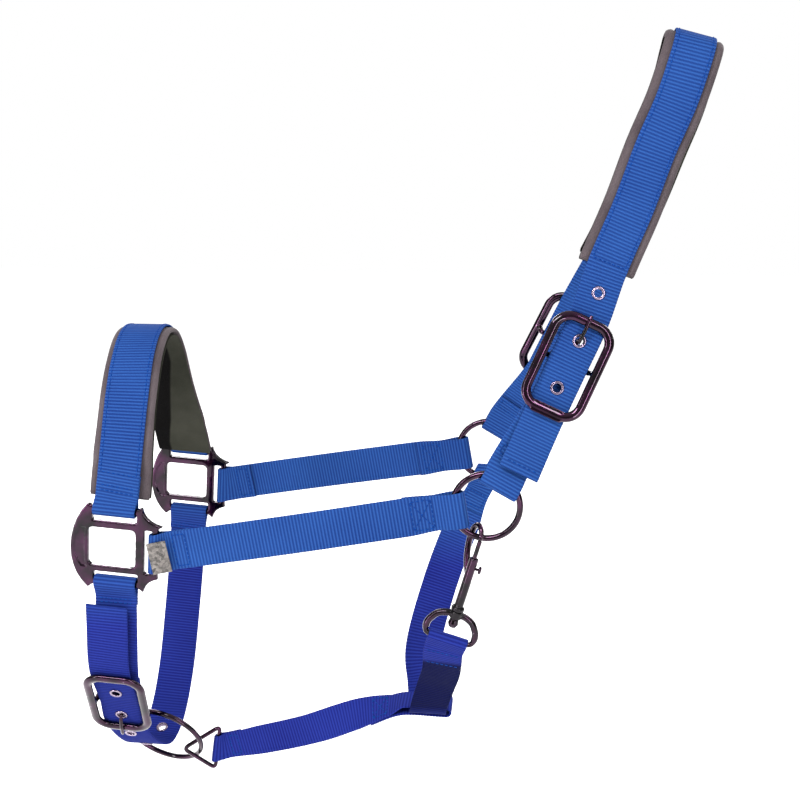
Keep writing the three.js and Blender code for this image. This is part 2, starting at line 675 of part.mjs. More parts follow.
function addNoseband() {
  const x = v3(-1, 0, 0);
  const [nearX, farX] = [NEAR, FAR].map((side) => squareFrame(side).x.negate());
  const lean = v3(-0.99, 0, 0.13);
  const run = new Run([
    [squareBar(NEAR, 'nose'), nearX], [v3(-348, -69, -255), lean], [v3(-346.5, -58, -222), lean],
    [v3(-347.5, -40, -198), x], [v3(-348.5, -22, -185.5), x], [v3(-349, -7, -182.4), x],
    [v3(-349, 7, -186), x], [v3(-349, 20, -199), x], [v3(-348.5, 34, -226), x],
    [v3(-347.5, 56, -264), x], [squareBar(FAR, 'nose'), farX],
  ]);
  const end = { radius: SQUARE_FOLD, back: 24, neck: 8, meets: onBar(nearX) };
  const step = 7;
  add('noseband_strap', strap(run, { width: NOSE_W, start: end, end, step }), FINISH.webbing);

  // The pad steps in where the strap is doubled, and again beside the bar. It flares at its two
  // ends, which are cut parallel to the bars.
  const start = 6.5;
  const fromEnd = (s) => Math.min(s, run.length - s);
  const beside = (s) => 1 - smooth((fromEnd(s) - start) / 20);
  const doubled = (s) => 1 - smooth((fromEnd(s) - 26) / 12);
  const depth = (s) => -(WEB / 2 + GAP + PAD.thick / 2) - LAYER * doubled(s) - PAD.dip * beside(s);
  const width = (s) => PAD.width + (PAD.flare - PAD.width) * (1 - smooth((fromEnd(s) - start) / PAD.ramp));
  const lining = (s) => depth(s) - PAD.thick / 2 - GAP - PAD.lining / 2;
  const between = evenMarks(end.neck, run.length - end.neck, step).slice(1, -1);
  const marks = [start, ...between, run.length - start];
  const slant = (s) => (w) => beside(s) * end.meets(run.at(s < run.length / 2 ? 0 : run.length), w);
  const layer = (at) => layerAt(marks, at).map((row) => ({ ...row, shift: slant(row.s) }));
  add('noseband_pad', ribbon(run, layer(depth), width, PAD.thick), FINISH.pad);
  add('noseband_lining', ribbon(run, layer(lining), width, PAD.lining), FINISH.lining);
}

const CHIN_BAR_STOP = 9;

function addChin() {
  // Buckle strap, hanging from the near square
  const start = squareBar(NEAR, 'chin');
  const x = v3(1, 0, 0);
  const buckleRun = new Run([
    [start, squareFrame(NEAR).x], [v3(-357.5, -69.2, -374), x], [v3(-362, -60, -408), x],
    [chinFrame.origin.clone(), x],
  ]);
  const squareEnd = { radius: SQUARE_FOLD, back: 15, neck: 9, meets: onBar(squareFrame(NEAR).x) };
  const barEnd = { radius: BAR_FOLD, back: 24, neck: 8, meets: onBar(chinFrame.x) };
  const plain = strap(buckleRun, { width: NOSE_W, start: squareEnd, end: barEnd, step: 10 });
  add('chin_buckle_strap', cut(plain, tongueSlot(chinFrame)), FINISH.webbing);
  addBuckle('chin', chinFrame, false);

  // Chin strap, from the far square under the chin and up through the buckle
  const back = v3(-1, 0, 0);
  const run = new Run([
    [squareBar(FAR, 'chin'), squareFrame(FAR).x.clone().negate()], [v3(-354.2, 68.5, -384), back],
    [v3(-356.3, 63, -413), back], [v3(-359.3, 51, -456.8), back], [v3(-361, 35, -482.2), back],
    [v3(-361.5, 20, -491.5), back], [v3(-363, 4, -494.6), back], [v3(-365.5, -12, -486.5), back],
    [pointIn(chinFrame, 0, BUCKLE.top, STRAP_RISE), back], [pointIn(chinFrame, 0, 0, STRAP_RISE), back],
    [pointIn(chinFrame, 2, BUCKLE.bottom, STRAP_RISE), back], [v3(-364.5, -69.5, -394), back],
    [v3(-362.3, -73.4, -374), back], [v3(-361, -75.2, -354), back],
  ]);
  const bar = run.marks[CHIN_BAR_STOP];
  const frames = [];
  for (let k = -1; k <= 3; k++) {
    const frame = eyeletFrame(run, bar - TONGUE.eyelet - k * CHIN_PITCH);
    frames.push(frame);
    add(`chin_eyelet_${k + 2}`, eyeletBody(), FINISH.eyelet, frame);
  }
  const body = strap(run, { width: NOSE_W, start: squareEnd, step: 9 });
  add('chin_strap', punch(body, frames), FINISH.webbing);
  add('chin_ring', ringBody(CHIN_RING), FINISH.metal, chinRingFrame);
}

function addThroat() {
  const ring = from(FAR.ring);
  const down = v3(-0.05, 0, -0.999);
  const tangent = v3(-0.999, 0, 0.05);
  const flat = v3(-1, 0, 0);
  const run = new Run([
    [along(ring, down, RING.radius), tangent], [v3(-135.8, 58, -327.2), v3(-0.92, 0, 0.38)],
    [v3(-154.6, 49, -378.2), v3(-0.95, 0, 0.3)], [v3(-166, 28, -425.1), v3(-0.99, 0, 0.1)],
    [v3(-163.7, 20, -442.5), flat], [v3(-162.6, 15.3, -449.6), flat], [v3(-161.6, 9.5, -452.2), flat],
    [v3(-160.6, 0, -452.4), flat], [v3(-159.6, -9.5, -452.2), flat], [v3(-158.7, -15.3, -449.6), flat],
    [v3(-157, -20.5, -440.5), flat], [v3(-152.2, -31, -422), v3(-0.98, 0, 0.15)],
    [v3(-147.5, -46, -402), v3(-0.975, 0, 0.2)],
    [along(snapFrame.origin, v3(0.265, -0.35, 0.9), -12), v3(-0.96, 0, 0.28)],
    [snapFrame.origin.clone(), v3(-0.96, 0, 0.28)],
  ]);
  const ringEnd = ringFold(STRAP_W, 26, tangent);
  const eyeEnd = { radius: SNAP.eyeWire + GAP + WEB / 2, back: 30, neck: 9, meets: onBar(snapFrame.x) };
  const width = (s) => STRAP_W - THROAT_GATHER * (1 - smooth((s - 12) / 30));
  add('throat_strap', strap(run, { width, start: ringEnd, end: eyeEnd, step: 7 }), FINISH.webbing);
}

function addJaw() {
  add('triangle_link', triangleBody(), FINISH.metal, triangleFrame);
  const across = v3(-0.1, 0.99, 0);
  const run = new Run([
    [from(TRIANGLE_AT), triangleFrame.y], [v3(-283.3, 4, -489.5), v3(0, 0.05, 1)],
    [v3(-245, 2.5, -477.5), v3(0, 0.15, 1)], [v3(-211, 1, -463), v3(0, 0.6, 0.75)],
    [v3(-190, 0, JAW_LEVEL - 3), v3(0, 0.95, 0.3)], [v3(-177, 0, JAW_LEVEL), across],
    [v3(-145.8, 0, JAW_LEVEL), across],
  ]);
  const front = { radius: TRIANGLE.wire + WEB / 2 + 0.5, back: 20, neck: 8, meets: onBar(triangleFrame.y) };
  const rear = { radius: WEB + 1.2, back: 26, neck: 9, slot: 31, meets: level };
  const width = (s) => JAW_W - JAW_GATHER * (1 - smooth((s - 8) / 30));
  add('jaw_strap', strap(run, { width, start: front, end: rear, step: 10 }), FINISH.webbing);
}

function addSnap() {
  add('snap_eye', eyeBody(), FINISH.metal, snapFrame);
  add('snap_hook', hookBody(), FINISH.metal, snapFrame);
  add('snap_bolt', boltBody(), FINISH.metal, snapFrame);
  add('snap_spring', springBody(), FINISH.metal, snapFrame);
}

function addTag() {
  const frame = squareFrame(NEAR);
  const at = pointIn(frame, 32.4, -1, 5.6);
  const tilted = frameOf(at, v3(-0.19, 0, 0.98), v3(0.1, -1, 0));
  add('name_tag', new THREE.BoxGeometry(12.5, 20.5, 0.8), FINISH.tag, tilted);
}

addSide(NEAR, 'near');
addSide(FAR, 'far');
addCrown();
addNoseband();
addChin();
addThroat();
addJaw();
addSnap();
addTag();

export default halter;
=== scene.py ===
"""Looks of the horse head halter: ribbed webbing, neoprene pads and dark plated fittings.

Shapes are worked out in millimetres below the outside top of the crown, as the CAD is, and
become metres in the row frame when their mesh is made.
"""

import json
import math

import bpy
import numpy as np
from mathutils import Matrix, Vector

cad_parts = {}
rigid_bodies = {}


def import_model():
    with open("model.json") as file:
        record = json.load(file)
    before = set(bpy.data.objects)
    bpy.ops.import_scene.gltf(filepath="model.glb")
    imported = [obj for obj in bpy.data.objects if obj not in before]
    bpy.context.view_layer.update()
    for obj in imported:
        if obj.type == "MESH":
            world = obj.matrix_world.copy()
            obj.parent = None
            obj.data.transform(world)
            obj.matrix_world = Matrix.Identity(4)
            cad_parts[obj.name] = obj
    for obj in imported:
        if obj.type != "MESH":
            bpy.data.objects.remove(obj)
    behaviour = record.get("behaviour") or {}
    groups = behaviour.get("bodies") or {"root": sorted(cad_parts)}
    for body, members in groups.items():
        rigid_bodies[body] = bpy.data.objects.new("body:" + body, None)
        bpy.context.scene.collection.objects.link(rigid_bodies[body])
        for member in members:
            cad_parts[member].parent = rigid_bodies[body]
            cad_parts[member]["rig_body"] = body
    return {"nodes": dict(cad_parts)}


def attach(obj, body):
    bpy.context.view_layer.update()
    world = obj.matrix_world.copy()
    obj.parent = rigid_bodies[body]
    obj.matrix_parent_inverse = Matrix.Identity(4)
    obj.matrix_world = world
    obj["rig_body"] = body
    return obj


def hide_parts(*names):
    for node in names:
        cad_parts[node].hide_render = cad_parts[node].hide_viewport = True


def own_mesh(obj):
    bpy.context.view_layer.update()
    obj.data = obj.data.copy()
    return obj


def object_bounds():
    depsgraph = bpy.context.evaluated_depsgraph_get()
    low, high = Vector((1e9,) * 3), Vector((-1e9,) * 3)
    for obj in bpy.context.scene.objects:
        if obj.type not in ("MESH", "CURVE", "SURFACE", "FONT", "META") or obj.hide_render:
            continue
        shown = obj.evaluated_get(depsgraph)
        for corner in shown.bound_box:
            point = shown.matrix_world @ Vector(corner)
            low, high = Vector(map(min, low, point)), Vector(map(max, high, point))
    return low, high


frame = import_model()
cad_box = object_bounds()

# -------- driving dimensions, mm

GAP = 0.3
WEB = 1.6
LAYER = WEB + GAP
STRAP_W = 25.4
NOSE_W = 27.5
JAW_W = 22.0
PAD_W, PAD_FLARE, PAD_RAMP, PAD_DIP, PAD_THICK, LINING_THICK = 36.0, 39.0, 60.0, 1.2, 4.4, 1.2
RING_R, RING_WIRE = 20.7, 2.1
CHIN_RING_R, CHIN_RING_WIRE = 28.5, 1.9
BUCKLE_HALF, BUCKLE_TOP, BUCKLE_BOTTOM, BUCKLE_CORNER, BUCKLE_WIRE = 18.9, 28.5, -32.0, 11.5, 2.1
PLATE_W, PLATE_THICK = 7.4, 3.4
BAND = 3.1  # half width of a buckle's frame, which is a flattened oval
BAR = 1.8
BAR_FOLD = BAR + WEB / 2 + 0.45
STRAP_RISE = BAR + 2 * WEB + 2 * GAP + 0.2 - WEB / 2
FRAME_RISE = STRAP_RISE + WEB / 2 + GAP + BUCKLE_WIRE
TONGUE_EYELET, TONGUE_LOOP, TONGUE_W, TONGUE_THICK = 15.0, 3.4, 2.6, 1.9
EYELET_BORE, EYELET_BARREL, EYELET_FLANGE, EYELET_HOLE = 2.6, 3.0, 4.3, 3.4
EYELET_PITCH = 31.6
CHIN_PITCH = 27.0
TRIANGLE_HALF, TRIANGLE_REACH, TRIANGLE_CORNER, TRIANGLE_WIRE = 17.3, 25.0, 4.5, 1.5
RING_FOLD = 3.8
SLACK = 0.6  # room left at each end of a loop beyond its ring's bow
SQUARE_TILT = math.radians(4)
SQUARE_BARS = {"nose": (1.6, 26), "chin": (2.6, -22.95), "cheek": (28.25, 0)}
SQUARE_FOLD = 3.85
JAW_LEVEL = -452.1
JAW_GATHER = 2.5
CHEEK_GATHER = 2.4
THROAT_GATHER = 7.4
CROWN_BEND = 11.5
CROWN_DROP = WEB + 2 * GAP + PAD_THICK + LINING_THICK
RIB = 2.1  # pitch of the ribs along the webbing
RIB_DEPTH = 0.2
RIB_STEPS = 4  # rows of points in one rib

# -------- camera, light and floor

CAMERA_AT = (-0.107, -0.691, -0.0692)
CAMERA_AZIMUTH = math.radians(6)
CAMERA_ELEVATION = math.radians(12.5)
LENS, SENSOR = 48, 36
FLOOR_DROP, FLOOR_HALF = 0.03, 4  # floor below the lowest point, and half its side, m
FLOOR_GLOW = 0.14
STUDIO_DIM, STUDIO_BRIGHT = 0.2, 1.6  # radiance of the studio at the horizon and overhead
LIGHTS = {  # place from the middle of the halter and size, m; power, W
    "key": ((-0.3, -0.8, 0.9), (0.7, 0.16), 18),
    "rim": ((0.7, 0.5, 0.5), (0.16, 0.9), 8),
    "back": ((-0.5, 1.1, 0.6), (0.6, 0.3), 8),
    "left": ((-0.75, -0.75, 0.15), (0.08, 1.0), 8),
    "right": ((0.6, -1.0, 0.15), (0.08, 1.2), 9),
}


def added(name, data):
    made = bpy.data.objects.new(name, data)
    bpy.context.scene.collection.objects.link(made)
    return made


def add_camera():
    data = bpy.data.cameras.new("camera")
    data.lens = LENS
    data.sensor_width = SENSOR
    camera = added("camera", data)
    a, e = CAMERA_AZIMUTH, CAMERA_ELEVATION
    look = Vector((-math.sin(a) * math.cos(e), math.cos(a) * math.cos(e), -math.sin(e)))
    camera.location = CAMERA_AT
    camera.rotation_euler = look.to_track_quat("-Z", "Y").to_euler()
    bpy.context.scene.camera = camera


def add_light(name, at, size, power):
    """An area light that faces the middle of the halter."""
    data = bpy.data.lights.new(name, "AREA")
    data.shape = "RECTANGLE"
    data.size, data.size_y = size
    data.energy = power
    light = added(name, data)
    middle = (cad_box[0] + cad_box[1]) / 2
    light.location = middle + Vector(at)
    light.rotation_euler = (-Vector(at)).to_track_quat("-Z", "Y").to_euler()


def add_world():
    """A white backdrop in a studio that is bright overhead and dim near the horizon."""
    world = bpy.data.worlds.new("studio")
    world.use_nodes = True
    nodes = Nodes(world.node_tree)
    backdrop, output = (nodes.tree.nodes[name] for name in ("Background", "World Output"))
    backdrop.inputs["Color"].default_value = (1, 1, 1, 1)
    rise = nodes.split(nodes.node("ShaderNodeTexCoord", {}, "Generated"))[2]
    brightness = nodes.range(rise, -0.05, 1.0, STUDIO_DIM, STUDIO_BRIGHT)
    studio = nodes.node("ShaderNodeBackground", {"Strength": brightness})
    sight = nodes.node("ShaderNodeLightPath", {}, "Is Camera Ray")
    both = nodes.node("ShaderNodeMixShader", {0: sight, 1: studio, 2: backdrop.outputs[0]})
    nodes.feed(output.inputs["Surface"], both)
    bpy.context.scene.world = world
    bpy.context.scene.view_settings.view_transform = "Standard"


def add_floor():
    mesh = bpy.data.meshes.new("floor")
    z = cad_box[0].z - FLOOR_DROP
    corners = [(FLOOR_HALF * x, FLOOR_HALF * y, z) for x, y in ((-1, -1), (1, -1), (1, 1), (-1, 1))]
    mesh.from_pydata(corners, [], [(0, 1, 2, 3)])
    glow = {"Emission Color": (1, 1, 1, 1), "Emission Strength": FLOOR_GLOW}
    finish = Finish("floor", {"Roughness": 1.0, "Specular IOR Level": 0.0, **glow})
    mesh.materials.append(finish.done(finish.shade(finish.noise(3, 2), "floor")))
    floor = added("floor", mesh)


# -------- materials

SHADES = {  # darkest and lightest tone of each surface, linear red, green and blue
    "floor": ((0.955, 0.955, 0.955), (0.975, 0.975, 0.975)),
    # The webbing as lit above the cheeks; the two webbing tones after it are the same webbing darkened as
    # painted shade
    "webbing above the cheeks": ((0.004, 0.012, 0.078), (0.018, 0.062, 0.215)),
    "webbing in painted shade": ((0.004, 0.0045, 0.066), (0.014, 0.024, 0.18)),
    # painted shade on the throat strap's doubled end near the snap
    "webbing in deep painted shade": ((0.0005, 0.0005, 0.012), (0.002, 0.002, 0.04)),
    "neoprene": ((0.03, 0.022, 0.026), (0.084, 0.068, 0.073)),
    "olive knit": ((0.017, 0.0175, 0.013), (0.031, 0.031, 0.024)),
    "thread": ((0.001, 0.013, 0.1), (0.004, 0.045, 0.22)),
    "label": ((0.022, 0.019, 0.017), (0.155, 0.138, 0.128)),
}
# Black painted shadow over the front of the lining
LINING_PAINTED_SHADOW = (0.0015, 0.0013, 0.0013, 1)
# Heights and depths between which painted shade and painted shadow come in over a surface's own colour, m
SHADE_BELOW_CHEEKS = (-0.315, -0.36)
SHADED_END_HEIGHT, SHADED_END_SIDE = (-0.383, -0.387), (-0.012, -0.02)
LINING_SHADOW_EDGE = (-0.271, -0.204, 9.7, -6.7)  # two heights, m, and how far across the painted shadow's edge is there, mm


class Nodes:
    """A node tree that is built by feeding values into sockets."""

    def __init__(self, tree):
        self.tree = tree

    def feed(self, socket, value):
        if isinstance(value, bpy.types.NodeSocket):
            self.tree.links.new(value, socket)
        else:
            socket.default_value = value

    def node(self, kind, inputs, output=0, **settings):
        made = self.tree.nodes.new(kind)
        for key, value in settings.items():
            setattr(made, key, value)
        for key, value in inputs.items():
            self.feed(made.inputs[key], value)
        return made.outputs[output]

    def split(self, vector):
        parts = self.tree.nodes.new("ShaderNodeSeparateXYZ")
        self.feed(parts.inputs[0], vector)
        return tuple(parts.outputs)

    def math(self, operation, a, b, c=0.0):
        return self.node("ShaderNodeMath", {0: a, 1: b, 2: c}, operation=operation)

    def times(self, a, b, plus=None):
        """a times b, and perhaps plus another value."""
        return self.math("MULTIPLY", a, b) if plus is None else self.math("MULTIPLY_ADD", a, b, plus)

    def range(self, value, low, high, to_low=0.0, to_high=1.0):
        return self.node("ShaderNodeMapRange", {0: value, 1: low, 2: high, 3: to_low, 4: to_high})

    def mix(self, share, a, b):
        return self.node("ShaderNodeMix", {0: share, 6: a, 7: b}, output=2, data_type="RGBA")


class Finish(Nodes):
    """A node material. Numbers that are the same all over sit on the shader's own sockets."""

    def __init__(self, name, constants):
        self.material = bpy.data.materials.new(name)
        self.material.use_nodes = True
        super().__init__(self.material.node_tree)
        self.sockets = self.tree.nodes["Principled BSDF"].inputs
        for socket, value in constants.items():
            self.sockets[socket].default_value = value
        self.place = self.node("ShaderNodeTexCoord", {}, "Object")

    def weave(self):
        """Distances along and across the webbing, in mm."""
        return self.split(self.node("ShaderNodeUVMap", {}, uv_map="weave"))[:2]

    def wave(self, position, pitch, turn=0.0):
        """A wave between 0 and 1 along a distance in mm."""
        angle = self.times(position, math.tau / pitch, turn)
        return self.times(self.math("COSINE", angle, 0.0), 0.5, 0.5)

    def noise(self, scale, detail=3):
        return self.node("ShaderNodeTexNoise", {"Vector": self.place, "Scale": scale, "Detail": detail})

    def shade(self, tone, surface):
        dark, light = SHADES[surface]
        return self.mix(tone, (*dark, 1), (*light, 1))

    def rough(self, value, least, most, low=0.3, high=0.7):
        self.feed(self.sockets["Roughness"], self.range(value, low, high, least, most))

    def done(self, colour, height=None, distance=0.0, strength=1.0):
        """The material, with a height from 0 to 1 as a relief of that distance in metres."""
        self.feed(self.sockets["Base Color"], colour)
        if height is not None:
            inputs = {"Height": height, "Distance": distance, "Strength": strength}
            self.feed(self.sockets["Normal"], self.node("ShaderNodeBump", inputs))
        return self.material


def webbing_finish(name, painted_shade_end=False):
    """Ribbed nylon: warp yarns over thick picks, darker below the cheeks as painted shade, and darkest on a
    shaded end as painted shade.
    """
    finish = Finish(name, {"Specular IOR Level": 0.1, "Specular Tint": (0.25, 0.5, 1, 1)})
    along, across = finish.weave()
    rib = finish.wave(along, RIB, math.pi)
    warp = finish.wave(across, 0.9)
    pick = finish.wave(along, RIB / 2)
    fade, fuzz = finish.noise(14), finish.noise(2600, 2)
    yarn = finish.times(warp, 0.5, finish.times(pick, 0.25))
    tone = finish.times(yarn, 0.25, finish.times(rib, 0.55, finish.times(fade, 0.5)))
    tone = finish.times(fuzz, 0.25, finish.math("SUBTRACT", tone, 0.22))
    tone = finish.range(tone, 0.1, 1.0)
    _, side, height = finish.split(finish.place)
    # Painted shade: below the cheeks the webbing turns to a darker tone, standing in for the shade it hangs
    # in
    upper_colour, painted_shade_colour = finish.shade(tone, "webbing above the cheeks"), finish.shade(tone, "webbing in painted shade")
    colour = finish.mix(finish.range(height, *SHADE_BELOW_CHEEKS), upper_colour, painted_shade_colour)
    # Painted shade: the throat strap's doubled end near the snap is painted much darker, as if turned away
    # from the light
    if painted_shade_end:
        end = finish.times(finish.range(height, *SHADED_END_HEIGHT), finish.range(side, *SHADED_END_SIDE))
        colour = finish.mix(end, colour, finish.shade(tone, "webbing in deep painted shade"))
    finish.rough(fuzz, 0.75, 0.95)
    return finish.done(colour, finish.times(yarn, 0.6, finish.times(fuzz, 0.4)), 0.00012, 0.8)


def neoprene_finish():
    """Taupe knit over foam: fine jersey loops, darker where it is rubbed."""
    finish = Finish("neoprene", {"Sheen Weight": 0.06, "Sheen Roughness": 0.5, "Specular IOR Level": 0.08})
    along, across = finish.weave()
    loops = finish.times(finish.wave(along, 0.8), finish.wave(across, 0.7))
    cloud, speck = finish.noise(45, 4), finish.noise(1500, 2)
    tone = finish.times(loops, 0.15, finish.times(cloud, 0.6, finish.times(speck, 0.45)))
    colour = finish.shade(finish.range(tone, 0.3, 0.85), "neoprene")
    finish.rough(speck, 0.78, 0.95)
    return finish.done(colour, finish.times(loops, 0.5, finish.times(speck, 0.5)), 0.00018, 0.8)


def lining_finish():
    """Dark knitted lining: olive, with black painted shadow in front and a slanting edge between the two."""
    finish = Finish("lining", {"Specular IOR Level": 0.06})
    along, across = finish.weave()
    knit = finish.times(finish.wave(along, 1.1), finish.wave(across, 0.9))
    cloud, speck = finish.noise(30), finish.noise(1200, 2)
    olive = finish.shade(finish.range(cloud, 0.3, 0.7), "olive knit")
    # Painted shadow: black over the front of the lining, up to a slanting edge
    shadow_edge = finish.range(finish.split(finish.place)[2], *LINING_SHADOW_EDGE)
    front = finish.range(finish.math("SUBTRACT", across, shadow_edge), -0.6, 0.6)
    finish.rough(speck, 0.85, 1.0)
    relief = finish.times(knit, 0.7, finish.times(speck, 0.3))
    return finish.done(finish.mix(front, olive, LINING_PAINTED_SHADOW), relief, 0.0002, 0.7)


def metal_finish(name, dark, tint, worn, roughness):
    """Black-nickel plating: purple cast, faint orange peel, brighter where edges are rubbed."""
    constants = {"Metallic": 1.0, "Coat Weight": 0.45, "Coat Roughness": 0.03, "Coat IOR": 1.45}
    finish = Finish(name, constants)
    cloud, peel, rubbed = finish.noise(70), finish.noise(900, 2), finish.noise(260, 4)
    pointed = finish.node("ShaderNodeNewGeometry", {}, output="Pointiness")
    edge = finish.times(finish.range(pointed, 0.52, 0.6), finish.range(rubbed, 0.4, 0.7))
    plated = finish.mix(finish.range(cloud, 0.35, 0.65), (*dark, 1), (*tint, 1))
    finish.rough(rubbed, roughness, roughness + 0.13)
    return finish.done(finish.mix(finish.times(edge, 0.6), plated, (*worn, 1)), peel, 0.00003, 0.3)


def thread_finish():
    finish = Finish("thread", {"Specular IOR Level": 0.05})
    twist = finish.noise(1800, 2)
    finish.rough(twist, 0.7, 0.9)
    return finish.done(finish.shade(finish.range(twist, 0.3, 0.7), "thread"), twist, 0.0001, 0.6)


def label_finish():
    """Plain woven label: a mottle of pale and dark satin patches, with no mark on it."""
    finish = Finish("label", {"Specular IOR Level": 0.4})
    along, across = finish.weave()
    cells = finish.node("ShaderNodeTexVoronoi", {"Vector": finish.place, "Scale": 520}, output="Color")
    patch = finish.node("ShaderNodeSeparateColor", {0: cells})
    grain = finish.noise(900)
    weave = finish.times(finish.wave(along, 0.5), finish.wave(across, 0.5))
    tone = finish.times(patch, 0.5, finish.times(grain, 0.6))
    colour = finish.shade(finish.range(tone, 0.3, 0.85), "label")
    finish.rough(patch, 0.28, 0.6, 0.0, 1.0)
    return finish.done(colour, finish.times(tone, 0.7, finish.times(weave, 0.3)), 0.0004, 0.7)


# -------- vectors and frames


def unit(v):
    v = np.asarray(v, float)
    return v / np.linalg.norm(v, axis=-1, keepdims=True)


def vec(*xyz):
    return np.array(xyz, float)


def around(count, shift=0.0):
    """Angles at even steps of one turn."""
    return (np.arange(count) + shift) / count * math.tau


def smooth(x):
    x = np.clip(x, 0, 1)
    return x * x * (3 - 2 * x)


class Place:
    """An origin and three axes."""

    def __init__(self, origin, x, y, z):
        self.origin, self.x, self.y, self.z = origin, x, y, z

    def point(self, x, y, z):
        return self.origin + x * self.x + y * self.y + z * self.z

    def points(self, local):
        return self.origin + np.asarray(local, float) @ np.array([self.x, self.y, self.z])

    def inside(self, world):
        return (world - self.origin) @ np.array([self.x, self.y, self.z]).T


def facing(origin, up, out):
    """A place with y up the piece and z out of the horse's head."""
    y = unit(up)
    x = unit(np.cross(y, out))
    return Place(np.asarray(origin, float), x, y, unit(np.cross(x, y)))


class Run:
    """The middle line of a strap through stops of (point, direction of the width)."""

    SAMPLES = 400

    def __init__(self, stops):
        points = np.array([p for p, _ in stops], float)
        first, last = 2 * points[0] - points[1], 2 * points[-1] - points[-2]
        self.points = np.vstack([first, points, last])
        self.spans = len(points) - 1
        self.widths = unit([w for _, w in stops])
        self.t = np.linspace(0, 1, self.SAMPLES + 1)
        steps = np.linalg.norm(np.diff(self.curve(self.t), axis=0), axis=1)
        self.lengths = np.concatenate([[0], np.cumsum(steps)])
        self.length = self.lengths[-1]
        stop_samples = np.round(np.arange(self.spans + 1) / self.spans * self.SAMPLES).astype(int)
        self.marks = self.lengths[stop_samples]

    def curve(self, t):
        """Centripetal Catmull-Rom curve."""
        span = np.clip((t * self.spans).astype(int), 0, self.spans - 1)
        x0, x1, x2, x3 = (self.points[span + k] for k in range(4))
        gaps = (x1 - x0, x2 - x1, x3 - x2)
        d0, d1, d2 = (np.linalg.norm(gap, axis=1)[:, None] ** 0.5 for gap in gaps)
        t1 = ((x1 - x0) / d0 - (x2 - x0) / (d0 + d1) + (x2 - x1) / d1) * d1
        t2 = ((x2 - x1) / d1 - (x3 - x1) / (d1 + d2) + (x3 - x2) / d2) * d1
        u = (t * self.spans - span)[:, None]
        return x1 + t1 * u + (3 * (x2 - x1) - 2 * t1 - t2) * u**2 + (2 * (x1 - x2) + t1 + t2) * u**3

    def at(self, s):
        """Origins and axes at the distances s, carried straight on past either end."""
        s = np.atleast_1d(np.asarray(s, float))
        on = np.clip(s, 0, self.length)
        t = np.interp(on, self.lengths, self.t)
        step = 1e-4
        tangent = unit(self.curve(np.minimum(t + step, 1)) - self.curve(np.maximum(t - step, 0)))
        origin = self.curve(t) + tangent * (s - on)[:, None]
        width = np.stack([np.interp(s, self.marks, self.widths[:, k]) for k in range(3)], axis=1)
        width = unit(width - tangent * (width * tangent).sum(1)[:, None])
        return origin, width, tangent, np.cross(tangent, width)

    def place(self, s):
        """The middle line's own axes: x across, y along, z out of the strap."""
        return Place(*(a[0] for a in self.at(s)))

    def hole(self, s):
        """A right-handed place for an eyelet."""
        at = self.place(s)
        return facing(at.origin, at.y, at.z)

    def point(self, s, n, w):
        """Points for arrays of the same shape: along, above and across the middle line."""
        shape = np.broadcast(s, n, w).shape
        s, n, w = (np.broadcast_to(a, shape).ravel() for a in (s, n, w))
        origin, width, _, normal = self.at(s)
        return (origin + width * w[:, None] + normal * n[:, None]).reshape(*shape, 3)


def on_bar(axis):
    """How far along a strap the line at the distance w from its middle meets a bar."""

    def meets(at, w):
        return w * (axis @ at.y) / (axis @ at.x)

    return meets


def level(_, w):
    """A straight end: no shift at the distance w from a strap's middle."""
    return 0 * w


FOLD_STEPS = 28


def fold(radius, back, neck, slot=0.0, sag=0.0, meets=level):
    """Profile of a folded end: (s, n, held) from the end of the folded-back layer round the bar.

    Which line it `meets` shifts the rows later, in middle_sheet.
    """
    profile = [(slot + back, -LAYER, 0), (slot + neck, -LAYER, 0)]

    def tangent(n):
        return math.atan2(abs(n), neck) + math.acos(radius / math.hypot(neck, n))

    start, end = (math.pi / 2, math.pi / 2) if slot > 0 else (tangent(-LAYER), tangent(0))
    if slot > 0:
        profile.append((slot, -radius, 1))
    for k in range(FOLD_STEPS + 1):
        turn = start + (2 * math.pi - start - end) * k / FOLD_STEPS
        profile.append((radius * math.cos(turn), -radius * math.sin(turn), 1))
    if slot > 0:
        profile.append((slot, radius, 1))
    profile.append((slot + neck, 0, 0))
    return [(s - sag, n, held) for s, n, held in profile]


def bar_fold(radius, back, neck, axis, **shape):
    """A fold round a straight bar along an axis."""
    return dict(radius=radius, back=back, neck=neck, meets=on_bar(axis), **shape)


def ring_fold(width, back, tangent):
    """A straight fold round a cheek ring, along its tangent and as long as its bow."""
    bow = RING_R - math.sqrt(RING_R**2 - (width / 2) ** 2)
    return bar_fold(RING_FOLD, back, 10, tangent, slot=bow + 2 * SLACK, sag=bow + SLACK)


# -------- meshes

SMOOTH_ROWS = 2  # rows on each side that soften a bend in a strap's profile


def resample(profile, step):
    """Rows of a profile at an even distance, with the distance along it in the first column."""
    rows = np.array(profile, float)
    lengths = np.concatenate([[0], np.cumsum(np.hypot(*np.diff(rows[:, :2], axis=0).T))])
    even = np.linspace(0, lengths[-1], max(2, round(lengths[-1] / step)) + 1)
    out = np.stack([np.interp(even, lengths, column) for column in rows.T], axis=1)
    soft = out.copy()
    k = SMOOTH_ROWS
    for i in range(k, len(out) - k):
        soft[i] = out[i - k:i + k + 1].mean(axis=0)
    return np.column_stack([even, soft])


def strap_rows(run, start=None, end=None):
    """Profile rows (along, s, n, held at the start, held at the end) of a strap."""
    head = fold(**start) if start else [(0, 0, 0)]
    tail = fold(**end)[::-1] if end else [(0, 0, 0)]
    profile = [(s, n, held, 0) for s, n, held in head]
    profile += [(run.length - d, n, 0, held) for d, n, held in tail]
    return resample(profile, RIB / RIB_STEPS)


